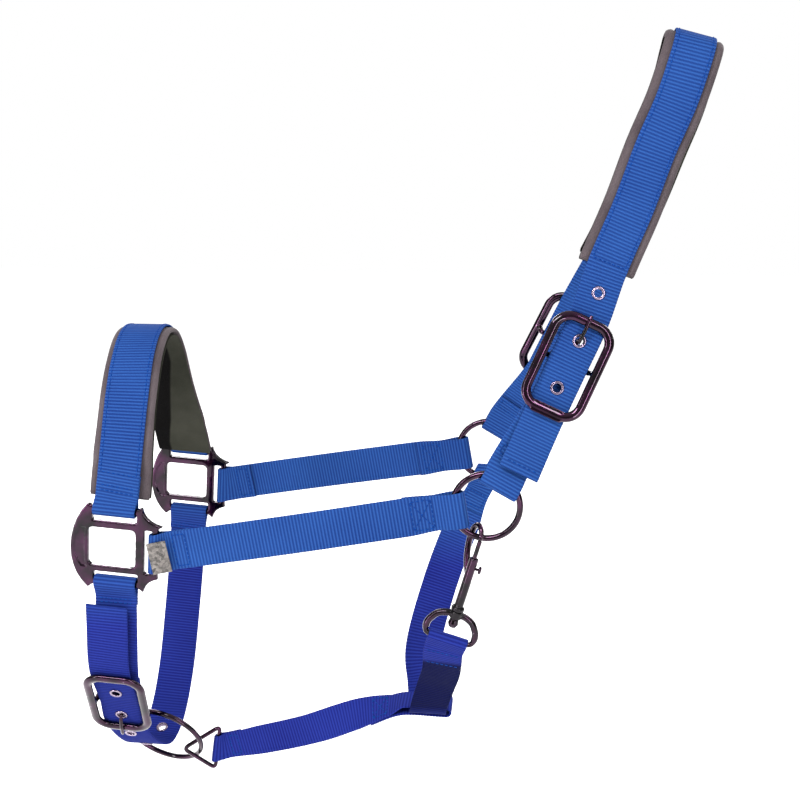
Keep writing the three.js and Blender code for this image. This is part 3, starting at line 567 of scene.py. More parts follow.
def holding(meets, at, s, w):
    slope = (meets(at, w + 0.05) - meets(at, w - 0.05)) / 0.1
    return meets(at, w) + s * (np.hypot(1, slope) - 1)


def middle_sheet(run, rows, w, start=None, end=None):
    """Points of a strap's middle layer, for rows of a profile and widths w of (rows, columns)."""
    s, n, held_start, held_end = (rows[:, k, None] for k in (1, 2, 3, 4))
    shift = np.zeros_like(w)
    if start:
        shift += held_start * holding(start["meets"], run.place(0), s, w)
    if end:
        shift += held_end * holding(end["meets"], run.place(run.length), s - run.length, w)
    return run.point(s + shift, n, w)


def normals_of(sheet):
    return unit(np.cross(np.gradient(sheet, axis=0), np.gradient(sheet, axis=1)))


# Columns across a strap: INNER times the flat half width, plus BEYOND times the round edge
BEYOND = np.array([-1, -0.88, -0.5] + [0] * 7 + [0.5, 0.88, 1])
INNER = np.concatenate([[-1] * 3, np.linspace(-1, 1, 7), [1] * 3])


def tube(rings, closed=False, capped=True):
    """Quads through rings of points, as (points, faces)."""
    count, sides = len(rings), len(rings[0])
    faces = []
    for i in range(count if closed else count - 1):
        a, b = i * sides, (i + 1) % count * sides
        faces += [(a + k, a + (k + 1) % sides, b + (k + 1) % sides, b + k) for k in range(sides)]
    if not closed and capped:
        faces.append(tuple(range(sides))[::-1])
        faces.append(tuple((count - 1) * sides + k for k in range(sides)))
    return np.reshape(rings, (-1, 3)), faces


def ring_of(outer, inner):
    """Closed sections from an upper and a lower sheet that share their edge columns."""
    return np.concatenate([outer, inner[:, -2:0:-1]], axis=1)


def metres(points):
    return (np.asarray(points) + vec(0, 0, CROWN_DROP)) / 1000


def per_row(value, s):
    """A number, or a function of the distance s, as one value for each row."""
    return value(s) if callable(value) else np.full_like(s, value)


def new_object(name, points, faces, weave=None):
    """An object whose mesh is given in millimetres, with distances along and across as a UV map."""
    mesh = bpy.data.meshes.new(name)
    mesh.from_pydata(metres(points).tolist(), [], [list(f) for f in faces])
    if weave is not None:
        layer = mesh.uv_layers.new(name="weave")
        corners = np.zeros(len(mesh.loops), int)
        mesh.loops.foreach_get("vertex_index", corners)
        layer.data.foreach_set("uv", np.asarray(weave, float)[corners].ravel())
    mesh.update()
    return added(name, mesh)


def placed(name, place, mesh):
    """An object out of (points, faces) in a place's own axes."""
    points, faces = mesh
    return new_object(name, place.points(points), faces)


def applied(obj, kind, **settings):
    """Adds a modifier and makes its result the object's own mesh."""
    modifier = obj.modifiers.new(kind.lower(), kind)
    for key, value in settings.items():
        setattr(modifier, key, value)
    graph = bpy.context.evaluated_depsgraph_get()
    mesh = bpy.data.meshes.new_from_object(obj.evaluated_get(graph))
    obj.modifiers.clear()
    obj.data = mesh
    return obj


def cut(obj, cutters):
    """Takes other objects' shapes out of an object, and removes them."""
    for cutter in cutters:
        applied(obj, "BOOLEAN", operation="DIFFERENCE", solver="MANIFOLD", object=cutter)
        bpy.data.objects.remove(cutter)
    return obj


def dress(obj, material, node, replaces=True):
    """Gives a finished piece its material and the body of the CAD node that it stands for."""
    obj.data.materials.clear()
    obj.data.materials.append(material)
    obj.data.polygons.foreach_set("use_smooth", [True] * len(obj.data.polygons))
    obj.data.update()
    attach(obj, frame["nodes"][node]["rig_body"])
    if replaces:
        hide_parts(node)
    return obj


# -------- webbing


def web_mesh(name, run, width, start, end):
    """A ribbed band with round selvedges, whose edge waves a little where each pick turns."""
    rows = strap_rows(run, start, end)
    along = rows[:, 0, None]
    half = per_row(width, rows[:, 1, None]) / 2
    round_edge = WEB / 2
    rib = np.cos(2 * np.pi * along / RIB)
    turn = round_edge + 0.07 * rib
    w = INNER[None, :] * (half - round_edge) + BEYOND[None, :] * turn
    sheet = middle_sheet(run, rows, w, start, end)
    normal = normals_of(sheet)
    thick = (WEB / 2 - RIB_DEPTH * (0.5 - 0.5 * rib)) * np.sqrt(1 - BEYOND[None, :] ** 2)
    rings = ring_of(sheet + normal * thick[..., None], sheet - normal * thick[..., None])
    points, faces = tube(rings)
    weave = np.stack([np.broadcast_to(along, w.shape), w], axis=-1)
    return new_object(name, points, faces, np.reshape(ring_of(weave, weave), (-1, 2)))


def web_piece(node, run, width, start=None, end=None, cutters=(), lines=(), material=None):
    """A strap, with its stitching on both faces along the lines."""
    obj = cut(web_mesh(f"{node}.woven", run, width, start, end), cutters)
    dress(obj, material or WEBBING, node)
    if lines:
        stitching(node, run, lines, (FACE, BACK))


THREAD_SIDES = 6
STITCH = {"pitch": 3.1, "length": 2.5, "thick": 0.34}


def stitched_line(run, a, b, height):
    """Stitches from a to b, each a bowed thread that dips into the webbing at both ends."""
    a, b = np.asarray(a, float), np.asarray(b, float)
    count = max(1, round(np.linalg.norm(b - a) / STITCH["pitch"]))
    middles = a + (b - a) * ((np.arange(count) + 0.5) / count)[:, None]
    heading = unit(b - a)
    origin, width, tangent, normal = run.at(middles[:, 0])
    side = math.copysign(1, height)
    at = origin + width * middles[:, 1, None] + normal * height
    ahead = unit(tangent * heading[0] + width * heading[1])
    aside = np.cross(ahead, normal)
    reach = np.array([-0.5, -0.38, 0, 0.38, 0.5])
    girth = np.array([0.25, 0.85, 1, 0.85, 0.25]) * STITCH["thick"]
    lift = np.array([-0.35, -0.02, 0.14, -0.02, -0.35]) * side
    turns = around(THREAD_SIDES)
    meshes = []
    for c, d, e, n in zip(at, ahead, aside, normal):
        section = np.outer(np.cos(turns), e) + np.outer(np.sin(turns), n)
        steps = zip(reach, girth, lift)
        meshes.append(tube([c + d * (r * STITCH["length"]) + n * h + g * section for r, g, h in steps]))
    return meshes


def box_lines(s0, s1, half, crossed=True):
    """Sides, and the cross, of a stitched box."""
    corners = [(s0, -half), (s1, -half), (s1, half), (s0, half)]
    lines = list(zip(corners, corners[1:] + corners[:1]))
    return lines + ([(corners[0], corners[2]), (corners[1], corners[3])] if crossed else [])


def rows_across(half, *distances):
    """Rows of stitches straight across a strap."""
    return [((s, -half), (s, half)) for s in distances]


def edge_lines(s0, s1, half):
    """Two long rows of stitches beside the edges, and one across each end."""
    return [((s0, w), (s1, w)) for w in (-half, half)] + rows_across(half, s0, s1)


def merged(meshes):
    points, faces, start = [], [], 0
    for p, f in meshes:
        points.append(p)
        faces += [tuple(start + i for i in face) for face in f]
        start += len(p)
    return np.vstack(points), faces


def stitching(node, run, lines, heights):
    """All the stitching of one strap, on one or both of its faces."""
    meshes = [m for height in heights for a, b in lines for m in stitched_line(run, a, b, height)]
    obj = new_object(f"{node}.stitching", *merged(meshes))
    return dress(obj, THREAD, node, replaces=False)


FACE = WEB / 2 - RIB_DEPTH * 0.4  # height of the stitches over a strap's middle
BACK = -(LAYER + WEB / 2) + RIB_DEPTH * 0.4  # and under its folded-back layer

# -------- metal fittings

ROUND = 24  # sides of a turned solid and of a drill


def rod(points, radius, closed=False, sides=16, up=(0, 0, 1), flat=1.0, radii=None):
    """A round or flattened rod along points, its section squared to the normal `up`."""
    points, up = np.asarray(points, float), np.asarray(up, float)
    if closed:
        ahead = np.roll(points, -1, 0) - np.roll(points, 1, 0)
    else:
        ahead = np.gradient(points, axis=0)
    side = unit(np.cross(ahead, up))
    r = np.full(len(points), radius, float) if radii is None else np.asarray(radii, float)
    turns = around(sides, 0.5)
    spread = side[:, None, :] * np.cos(turns)[None, :, None] + up * flat * np.sin(turns)[None, :, None]
    return tube(points[:, None, :] + spread * r[:, None, None], closed)


def circle(radius, height, sides, axis=1):
    """A ring of points about the y or z axis."""
    turns = around(sides)
    ring = np.stack([radius * np.cos(turns), np.full(sides, height), -radius * np.sin(turns)], axis=1)
    return ring if axis == 1 else ring[:, [0, 2, 1]] * (1, -1, 1)


def lathe(profile, sides=32, axis=1):
    """A profile of (radius, height) turned about the y or z axis; it closes on itself."""
    return tube([circle(r, h, sides, axis) for r, h in profile], closed=True)


def turned(profile):
    """A solid turned about the y axis: the profile starts and ends close to the axis."""
    return tube([circle(r, h, ROUND) for r, h in profile])


def arc(centre, radius, start, end, steps):
    turns = np.radians(np.linspace(start, end, steps + 1))
    return [(centre[0] + radius * math.cos(a), centre[1] + radius * math.sin(a)) for a in turns]


def rounded_path(x0, y0, x1, y1, r, steps=10):
    corners = ((x1 - r, y0 + r), (x1 - r, y1 - r), (x0 + r, y1 - r), (x0 + r, y0 + r))
    return [p for k, at in enumerate(corners) for p in arc(at, r, 90 * k - 90, 90 * k, steps)]


def subdivided(points, closed, most):
    """More points on the long straight stretches of a path."""
    points = [np.asarray(p, float) for p in points]
    pairs = list(zip(points, points[1:] + (points[:1] if closed else [])))
    out = []
    for a, b in pairs:
        count = max(1, math.ceil(np.linalg.norm(b - a) / most))
        out += [a + (b - a) * k / count for k in range(count)]
    return out if closed else out + [points[-1]]


def curved(points, steps=6):
    """A smooth line through points."""
    run = Run([(p, (0, 0, 1)) for p in points])
    return run.curve(np.linspace(0, 1, steps * (len(points) - 1) + 1))


def eased(points, rounds):
    """A closed line with its corners worn round."""
    points = np.asarray(points, float)
    for _ in range(rounds):
        points = (np.roll(points, 1, 0) + 2 * points + np.roll(points, -1, 0)) / 4
    return points


def softened(obj, voxel, rounds):
    """One skin in place of overlapping shapes, with its joins and edges worn round."""
    applied(obj, "REMESH", mode="VOXEL", voxel_size=voxel / 1000, adaptivity=0)
    return applied(obj, "SMOOTH", factor=0.5, iterations=rounds)


def fitting(node, meshes, place, voxel, rounds, cutters=()):
    """A casting out of overlapping shapes, drilled after its joins are softened."""
    obj = softened(placed(f"{node}.cast", place, merged(meshes)), voxel, rounds)
    return dress(cut(obj, cutters), METAL, node)


def wire_piece(node, place, mesh, material=None):
    return dress(placed(f"{node}.wire", place, mesh), material or METAL, node)


def wire_ring(node, place, radius, wire):
    """A welded wire ring, a little thicker at its weld."""
    turns = around(120)
    points = np.stack([radius * np.cos(turns), radius * np.sin(turns), 0 * turns], axis=1)
    weld = np.exp(-(((turns - math.pi / 3) / 0.05) ** 2))
    wire_piece(node, place, rod(points, wire, closed=True, sides=20, radii=wire - 0.03 + 0.12 * weld))


def buckle(node, place, with_plate):
    inset = BAND - BUCKLE_WIRE
    w = BUCKLE_HALF - inset
    path = rounded_path(-w, BUCKLE_BOTTOM, w, BUCKLE_TOP - inset, BUCKLE_CORNER - inset)
    outline = subdivided([(x, y, FRAME_RISE) for x, y in path], True, 2.0)
    legs = BUCKLE_HALF - 3.3
    drop = [(-w, FRAME_RISE), (-w + 1.1, FRAME_RISE - 1.2), (-legs, FRAME_RISE - 3.9)]
    drop += [(-legs, 1.6), (-legs + 1.6, 0)]
    drop += [(-x, z) for x, z in drop[::-1]]
    bar = subdivided([(x, 0, z) for x, z in drop], False, 1.2)
    meshes = [rod(outline, BAND, closed=True, flat=BUCKLE_WIRE / BAND), rod(bar, BAR, up=(0, 1, 0))]
    if with_plate:
        half = w - BUCKLE_CORNER + 4
        plate = rounded_path(-half, BUCKLE_BOTTOM - PLATE_W / 2, half, BUCKLE_BOTTOM + PLATE_W / 2, 1.6, 4)
        lifts = [FRAME_RISE - PLATE_THICK / 2, FRAME_RISE + PLATE_THICK / 2]
        meshes.append(tube([[(x, y, z) for x, y in plate] for z in lifts]))
    return fitting(node, meshes, place, voxel=0.4, rounds=7)


def tongue(node, place):
    reach = math.hypot(TONGUE_EYELET, STRAP_RISE)
    rest = FRAME_RISE + BUCKLE_WIRE + GAP + TONGUE_THICK / 2
    line = [(TONGUE_LOOP - 0.6, 0), (TONGUE_EYELET - 1.4, 0.2)]
    low, high = math.asin(1.2 / reach), math.asin((STRAP_RISE + 2.4) / reach)
    for k in range(4):
        turn = low + (high - low) * k / 3
        line.append((reach * math.cos(turn), reach * math.sin(turn)))
    line += [(TONGUE_EYELET + 1.4, STRAP_RISE + 4.4), (BUCKLE_TOP - 5, rest - 0.2), (BUCKLE_TOP + 3, rest)]
    points = subdivided([(0, y, z) for y, z in line], False, 0.8)
    taper = np.interp(np.arange(len(points)), [0, len(points) - 4, len(points) - 1], [1, 0.95, 0.7])
    half = TONGUE_THICK / 2
    blade = rod(points, half, up=(1, 0, 0), flat=TONGUE_W / TONGUE_THICK, radii=taper * TONGUE_THICK / 2)
    loop = [(BAR + 0.25, -1.4), (TONGUE_LOOP - 0.3, -1.6), (TONGUE_LOOP, -1.2), (TONGUE_LOOP, 1.2)]
    loop += [(TONGUE_LOOP - 0.3, 1.6), (BAR + 0.25, 1.4)]
    points, faces = lathe(loop)
    collar = (points[:, [1, 0, 2]] * (1, 1, -1), faces)
    return fitting(node, [blade, collar], place, voxel=0.26, rounds=4)


def eyelet(node, place):
    """A rolled eyelet: half-round flanges on both faces and a plain barrel between them."""
    face = WEB / 2 + 0.06
    crown = EYELET_FLANGE - 0.85
    roll = arc((crown, face), 0.85, 0, 150, 8)
    roll = [(r, min(z, face + 0.72)) for r, z in roll]
    top = roll + [(EYELET_BORE, face + 0.15)]
    bottom = [(r, -z) for r, z in top[::-1]]
    under = [(EYELET_BARREL + 0.1, -face), (EYELET_BARREL, -face + 0.1), (EYELET_BARREL, face - 0.1)]
    profile = top + bottom + under + [(EYELET_BARREL + 0.1, face)]
    obj = placed(f"{node}.rolled", place, lathe(profile, 40, axis=2))
    return dress(obj, EYELET, node)


def drill(place, reach=3.0):
    """A round cutter through a strap."""
    return placed("drill", place, tube([circle(EYELET_HOLE, z, ROUND, axis=2) for z in (-reach, reach)]))


def block(place, low, high):
    """A box-shaped cutter."""
    (x0, y0, z0), (x1, y1, z1) = low, high
    corners = ((x0, y0), (x1, y0), (x1, y1), (x0, y1))
    return placed("block", place, tube([[(x, y, z) for x, y in corners] for z in (z0, z1)]))


def tongue_slot(place):
    return block(place, (-2.2, -5.75, -6), (2.2, 4.75, 6))


CRESCENT_PANEL = {"reach": 13.5, "inner": -17.6, "outer": -25.2, "depth": 0.55}


def side_square(node, place):
    """The cast square: its CAD solid with softened edges and a sunk, blank crescent panel."""
    obj = softened(added(f"{node}.cast", frame["nodes"][node].data.copy()), 0.36, 30)
    sink_panel(obj.data, place)
    return dress(obj, METAL, node)


def sink_panel(mesh, place):
    panel = CRESCENT_PANEL
    flat = np.zeros(len(mesh.vertices) * 3)
    mesh.vertices.foreach_get("co", flat)
    world = flat.reshape(-1, 3) * 1000 - (0, 0, CROWN_DROP)
    x, y, z = place.inside(world).T
    bow = 0.028 * y**2
    across = np.minimum(x - (panel["outer"] + bow), panel["inner"] + bow * 0.25 - x)
    inside = smooth(across / 0.9) * smooth((panel["reach"] - np.abs(y)) / 0.9)
    z = z - np.sign(z) * panel["depth"] * inside * (np.abs(z) > 0.8)
    world = place.points(np.stack([x, y, z], axis=1))
    mesh.vertices.foreach_set("co", metres(world).ravel())
    mesh.update()


def triangle(node, place):
    half, reach, corner = TRIANGLE_HALF, TRIANGLE_REACH, TRIANGLE_CORNER
    ends = [vec(0, half, 0), vec(0, -half, 0), vec(reach, 0, 0)]
    points = []
    for i, p in enumerate(ends):
        a = p + unit(ends[i - 1] - p) * corner
        b = p + unit(ends[(i + 1) % 3] - p) * corner
        for t in np.linspace(0, 1, 9):
            points.append(a * (1 - t) ** 2 + 2 * p * t * (1 - t) + b * t**2)
    wire_piece(node, place, rod(subdivided(points, True, 2.0), TRIANGLE_WIRE, closed=True, sides=18))


# Throat snap, in its own frame: origin at the middle of the eye's straight bar, y up the shank
EYE_HALF, EYE_TOP, EYE_WIRE, EYE_BOSS = 15.9, 17.8, 1.75, 4.0
PIN, BALL, SHANK, SNAP_COLLAR, BODY_TOP = 1.7, 3.5, 3.0, 4.3, 57.0
SNAP_BORE, BORE_BOTTOM, BOLT, BOLT_BOTTOM, BOLT_TOP = 1.85, 30.0, 1.45, 44.0, 69.0
KNOB_AT, KNOB_TRAVEL, BOLT_TRAVEL, SPRING_R, SPRING_WIRE = 50.4, 8.0, 7.0, 1.15, 0.3
SHANK_FOOT = EYE_TOP + 3
SPRING_TURNS, SPRING_STEPS = 5, 28
TINY = 0.05  # radius at which a turned solid closes


def snap_eye():
    w = EYE_HALF
    half = [(w - 1.9, 0), (w, 2.2), (w, 8.5), (w - 4.2, EYE_TOP - 2.6), (w - 10, EYE_TOP)]
    line = [(x, y, 0) for x, y in half] + [(-x, y, 0) for x, y in half[::-1]]
    line = eased(subdivided(line, True, 1.2), 5)
    loop = rod(line, EYE_WIRE, closed=True, radii=EYE_WIRE * (1 + 0.28 * smooth((line[:, 1] - 2) / 3)))
    bore = PIN + 0.4
    boss = [(bore, EYE_TOP - 2.5), (EYE_BOSS - 0.4, EYE_TOP - 2.5), (EYE_BOSS, EYE_TOP - 2)]
    boss += [(EYE_BOSS, EYE_TOP + 2), (EYE_BOSS - 0.4, EYE_TOP + 2.5), (bore, EYE_TOP + 2.5)]
    cutter = placed("bore", SNAP, turned([(bore, EYE_TOP - 5), (bore, EYE_TOP + 5)]))
    return fitting("snap_eye", [loop, lathe(boss)], SNAP, 0.3, 5, [cutter])


def snap_hook():
    ball = EYE_TOP - 2.5 - 2 * BALL
    profile = [
        (TINY, ball), (BALL * 0.7, ball + 0.9), (BALL, EYE_TOP - 2.9 - BALL), (BALL * 0.8, EYE_TOP - 3.2),
        (PIN, EYE_TOP - 2.8), (PIN, SHANK_FOOT), (SNAP_COLLAR, SHANK_FOOT), (SNAP_COLLAR, SHANK_FOOT + 2),
        (SHANK, SHANK_FOOT + 3.4), (SHANK, BODY_TOP), (TINY, BODY_TOP),
    ]
    stops = [
        (1.4, 43, 1.5), (4.6, 48.5, 2.1), (8.6, 54.5, 2.1), (11.1, 61.5, 2), (11.8, 68, 2),
        (10.4, 73.6, 1.9), (6.8, 76.6, 1.8), (3, 75.6, 1.7), (0.8, 73, 1.6), (0, BOLT_TOP + 0.5, 1.5),
    ]
    lean_x, lean_z = -0.5, -0.866
    line = curved([(h * lean_x, y, h * lean_z) for h, y, _ in stops], 5)
    radii = np.interp(np.linspace(0, 1, len(line)), np.linspace(0, 1, len(stops)), [r for _, _, r in stops])
    arm = rod(line, 2, up=(lean_z, 0, -lean_x), radii=radii)
    bore = placed("bore", SNAP, turned([(SNAP_BORE, BORE_BOTTOM), (SNAP_BORE, BODY_TOP + 2)]))
    knob_slot = block(SNAP, (0, KNOB_AT - KNOB_TRAVEL - 1.8, -1.3), (6, KNOB_AT + 1.8, 1.3))
    return fitting("snap_hook", [turned(profile), arm], SNAP, 0.32, 4, [bore, knob_slot])


def snap_bolt():
    stem = turned([(TINY, BOLT_BOTTOM), (BOLT - 0.2, BOLT_BOTTOM), (BOLT, BOLT_BOTTOM + 0.3),
                   (BOLT, BOLT_TOP - 0.4), (BOLT - 0.4, BOLT_TOP), (TINY, BOLT_TOP)])
    shape = [(TINY, 0.7), (0.9, 0.7), (0.9, 4.6), (2.1, 4.6), (2.5, 5.0), (2.5, 6.0), (2.1, 6.4), (TINY, 6.5)]
    points, faces = turned(shape)
    knob = np.stack([points[:, 1], KNOB_AT + points[:, 0], points[:, 2]], axis=1), [f[::-1] for f in faces]
    return fitting("snap_bolt", [stem, knob], SNAP, 0.22, 3)


def snap_spring():
    low, high = BORE_BOTTOM + 0.7, BOLT_BOTTOM - 0.7
    share = np.linspace(0, 1, SPRING_TURNS * SPRING_STEPS + 1)
    angle = share * SPRING_TURNS * math.tau
    height = low + (high - low) * share
    points = np.stack([SPRING_R * np.cos(angle), height, SPRING_R * np.sin(angle)], axis=1)
    obj = wire_piece("snap_spring", SNAP, rod(points, SPRING_WIRE, sides=8, up=(0, 1, 0)), EYELET)
    anchor = metres(SNAP.point(0, low, 0))
    along = metres(SNAP.point(0, high, 0)) - anchor
    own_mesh(obj)


# -------- pads

PAD_ROW = 1.6  # distance between rows of points along a pad
PAD_COLUMNS = np.sin(np.linspace(-0.5, 0.5, 31) * math.pi)  # close together at the two rolled edges


def ripple(along, across, seed):
    """Slight unevenness of soft foam: a few long waves with fixed phases."""
    rng = np.random.default_rng(seed)
    total = 0
    for length in (23, 41, 67):
        a, b, c = rng.uniform(0, 2 * math.pi, 3)
        wave = np.sin(2 * math.pi * along / length + a + 0.8 * np.sin(across / 9 + b))
        total = total + wave * np.cos(across / 14 + c)
    return total / 3


def pad_mesh(name, run, s0, s1, depth, width, thick, strap_half, swell, seed, slant):
    """A foam layer: rolled edges that swell beside the strap and a middle that the strap presses in."""
    s = np.linspace(s0, s1, max(3, round((s1 - s0) / PAD_ROW)))[:, None]
    ends = smooth(np.minimum(s - s0, s1 - s) / 2.2 + 0.35)
    half = per_row(width, s) / 2
    w = PAD_COLUMNS[None, :] * (half - 0.5 * (1 - ends))
    centre = per_row(depth, s) + 0 * w
    edge = np.sqrt(np.clip(1 - np.abs(PAD_COLUMNS[None, :]) ** 5, 0, 1))
    beside = smooth((np.abs(w) - strap_half - 0.3) / 2.4)
    wave = 0.12 * ripple(s, w, seed)
    lift = (thick / 2 + swell * beside + wave * beside) * edge * ends
    drop = (thick / 2 - 0.05 + 0.1 * wave) * edge * ends
    sheet = run.point(s + slant(s, w), centre, w)
    normal = run.at(s[:, 0])[3][:, None, :]
    rings = ring_of(sheet + normal * lift[..., None], sheet - normal * drop[..., None])
    points, faces = tube(rings)
    weave = np.stack([s + 0 * w, w], axis=-1)
    return new_object(name, points, faces, np.reshape(ring_of(weave, weave), (-1, 2)))


def pad_piece(node, run, s0, s1, depth, width, strap_half, seed, slant=level):
    obj = pad_mesh(f"{node}.foam", run, s0, s1, depth, width, PAD_THICK, strap_half, 1.0, seed, slant)
    dress(obj, NEOPRENE, node)
    return obj


def lining_piece(node, run, s0, s1, depth, width, seed, slant=level):
    obj = pad_mesh(f"{node}.knit", run, s0, s1, depth, width, LINING_THICK, 99, 0.0, seed, slant)
    return dress(obj, LINING, node)


# -------- layout


class Side:
    def __init__(self, label, sign, square, ring, bar, sway):
        self.label, self.sign, self.sway = label, sign, sway
        self.out = vec(0, sign, 0)
        self.ring = np.array(ring, float)
        self.square = facing(square, vec(math.sin(SQUARE_TILT), 0, math.cos(SQUARE_TILT)), vec(0, -1, 0))
        self.buckle = facing(bar, vec(0.4, -0.225 * sign, 0.887), self.out)

    def bar(self, which):
        return self.square.point(*SQUARE_BARS[which], 0)


NEAR = Side("near", -1, (-356.7, -70, -316.5), (-119.7, -60, -283.7), (-72, -36, -197.5), 0)
FAR = Side("far", 1, (-350.5, 70, -313.5), (-122.1, 60, -279.5), (-73, 36, -195), 4)
CHIN = facing((-367, -44, -433), vec(-0.1, 0.5, -0.86), vec(0, -0.86, -0.5))
SNAP = facing((-142.4, -64.5, -371), vec(0.28, 0, 0.96), vec(0, -1, 0))
CHIN_RING = facing((-353.5, -0.7, -486.7), vec(-0.0887, -0.463, 0.8817), vec(0.166, 0.866, 0.472))
TRIANGLE = facing((-315.4, 4.4, -497.7), vec(0.14, 0, 0.99), vec(-0.378, 0.906, 0.053))


def add_side(side):
    label = side.label
    side_square(f"{label}_side_square", side.square)
    wire_ring(f"{label}_cheek_ring", facing(side.ring, vec(0, 0, 1), side.out), RING_R, RING_WIRE)
    add_cheek(side)
    add_buckle_strap(side)
    buckle(f"{label}_crown_buckle", side.buckle, True)
    tongue(f"{label}_crown_tongue", side.buckle)


def add_cheek(side):
    bar = side.bar("cheek")
    front = bar - side.ring
    front[1] = 0
    front = unit(front)
    wire = side.ring + front * RING_R
    upright = np.cross(side.out, -front)
    middle = (bar + wire) / 2 + vec(0, 2 * side.sign, 0)
    level_stops = [(at, upright) for at in (bar - 16 * front, middle, wire)]
    run = Run([(bar, -side.sign * side.square.y), *level_stops])
    start = bar_fold(SQUARE_FOLD, 24, 10, side.square.y)
    end = ring_fold(STRAP_W - CHEEK_GATHER, 30, upright)

    def width(s):
        return STRAP_W - CHEEK_GATHER * smooth((s - run.length + 30) / 20)

    lines = box_lines(13, 21, 10.2, False) + box_lines(run.length - 26, run.length - 13, 9.4)
    web_piece(f"{side.label}_cheek_strap", run, width, start, end, lines=lines)


def add_buckle_strap(side):
    up = side.buckle.origin - side.ring
    up[1] = 0
    up = unit(up)
    top = side.ring + up * RING_R
    across = np.cross(side.out, up)
    low = (top + side.buckle.y * 9) * 0.6 + (top + up * 9) * 0.4
    run = Run([(at, across) for at in (top, low, side.buckle.point(0, -24, 0), side.buckle.origin)])
    start = ring_fold(STRAP_W, 20, across)
    end = bar_fold(BAR_FOLD, 24, 8, side.buckle.x)
    lines = box_lines(12.5, 18.5, 10, False) + box_lines(run.length - 22, run.length - 12, 10, False)
    web_piece(f"{side.label}_buckle_strap", run, STRAP_W, start, end, [tongue_slot(side.buckle)], lines)


def crown_stops(side):
    tilt = vec(-0.91, 0, 0.41)
    fitted = [side.ring + vec(19.1, 6.8 * side.sign, 23.6), side.buckle.point(0, -40, STRAP_RISE + 0.3)]
    fitted += [side.buckle.point(0, y, STRAP_RISE) for y in (0, BUCKLE_TOP)]
    free = [  # x, share of the sway, y, z, lean of the width
        (-49.3, 0.6, 26, -139.3, (-0.91, 0, 0.41)), (-34.3, 1, 19, -102.4, (-0.935, 0, 0.35)),
        (-22.2, 1, 14.5, -67.7, (-0.94, 0, 0.34)), (-10.6, 0.6, 12, -38.6, (-0.955, 0, 0.3)),
        (-3, 0.15, CROWN_BEND, -12, (-0.965, 0, 0.26)),
        (-1, 0.03, 0.707 * CROWN_BEND, -4.1, (-0.965, 0, 0.26)),
    ]
    hanging = [((x + share * side.sway, y * side.sign, z), lean) for x, share, y, z, lean in free]
    return [(at, tilt) for at in fitted] + hanging


def add_crown():
    near, far = crown_stops(NEAR), crown_stops(FAR)[::-1]
    run = Run([*near, ((-0.2, 0, -WEB / 2), (-0.965, 0, 0.26)), *far])
    bar_stop, pad_stop = 2, 4
    drills = []
    for bar, way, label in ((run.marks[bar_stop], 1, "near"), (run.marks[-1 - bar_stop], -1, "far")):
        for k in (-1, 0, 1):
            place = run.hole(bar + way * (TONGUE_EYELET + k * EYELET_PITCH))
            eyelet(f"{label}_crown_eyelet_{k + 2}", place)
            drills.append(drill(place))
    web_piece("crown_strap", run, STRAP_W, cutters=drills)
    s0, s1 = run.marks[pad_stop], run.marks[-1 - pad_stop]
    depth = -(WEB / 2 + GAP + PAD_THICK / 2)
    lining = depth - PAD_THICK / 2 - GAP - LINING_THICK / 2
    pad_piece("crown_pad", run, s0, s1, depth, PAD_W, STRAP_W / 2, 3)
    lining_piece("crown_lining", run, s0, s1, lining, PAD_W, 4)
    lines = edge_lines(s0 + 3, s1 - 3, STRAP_W / 2 - 2.2)
    lines += rows_across(10, 5, run.length - 5)
    stitching("crown_strap", run, lines, (FACE,))


def add_noseband():
    x, lean = vec(-1, 0, 0), vec(-0.99, 0, 0.13)
    run = Run([
        (NEAR.bar("nose"), -NEAR.square.x), ((-348, -69, -255), lean), ((-346.5, -58, -222), lean),
        ((-347.5, -40, -198), x), ((-348.5, -22, -185.5), x), ((-349, -7, -182.4), x),
        ((-349, 7, -186), x), ((-349, 20, -199), x), ((-348.5, 34, -226), x),
        ((-347.5, 56, -264), x), (FAR.bar("nose"), -FAR.square.x),
    ])
    end = bar_fold(SQUARE_FOLD, 24, 8, -NEAR.square.x)
    web_piece("noseband_strap", run, NOSE_W, end, end)
    start = 6.5

    def from_end(s):
        return np.minimum(s, run.length - s)

    def beside(s):
        return 1 - smooth((from_end(s) - start) / 20)

    def depth(s):
        doubled = 1 - smooth((from_end(s) - 26) / 12)
        return -(WEB / 2 + GAP + PAD_THICK / 2) - LAYER * doubled - PAD_DIP * beside(s)

    def width(s):
        return PAD_W + (PAD_FLARE - PAD_W) * (1 - smooth((from_end(s) - 9) / PAD_RAMP))

    def lining(s):
        return depth(s) - PAD_THICK / 2 - GAP - LINING_THICK / 2

    def slant(s, w):
        near, far = (end["meets"](run.place(at), w) for at in (0, run.length))
        return beside(s) * np.where(s < run.length / 2, near, far)

    pad_piece("noseband_pad", run, start, run.length - start, depth, width, NOSE_W / 2, 5, slant)
    lining_piece("noseband_lining", run, start, run.length - start, lining, width, 6, slant)
    lines = edge_lines(24, run.length - 24, NOSE_W / 2 - 2.2)
    lines += rows_across(11, 12, 15.5, run.length - 12, run.length - 15.5)
    stitching("noseband_strap", run, lines, (FACE,))


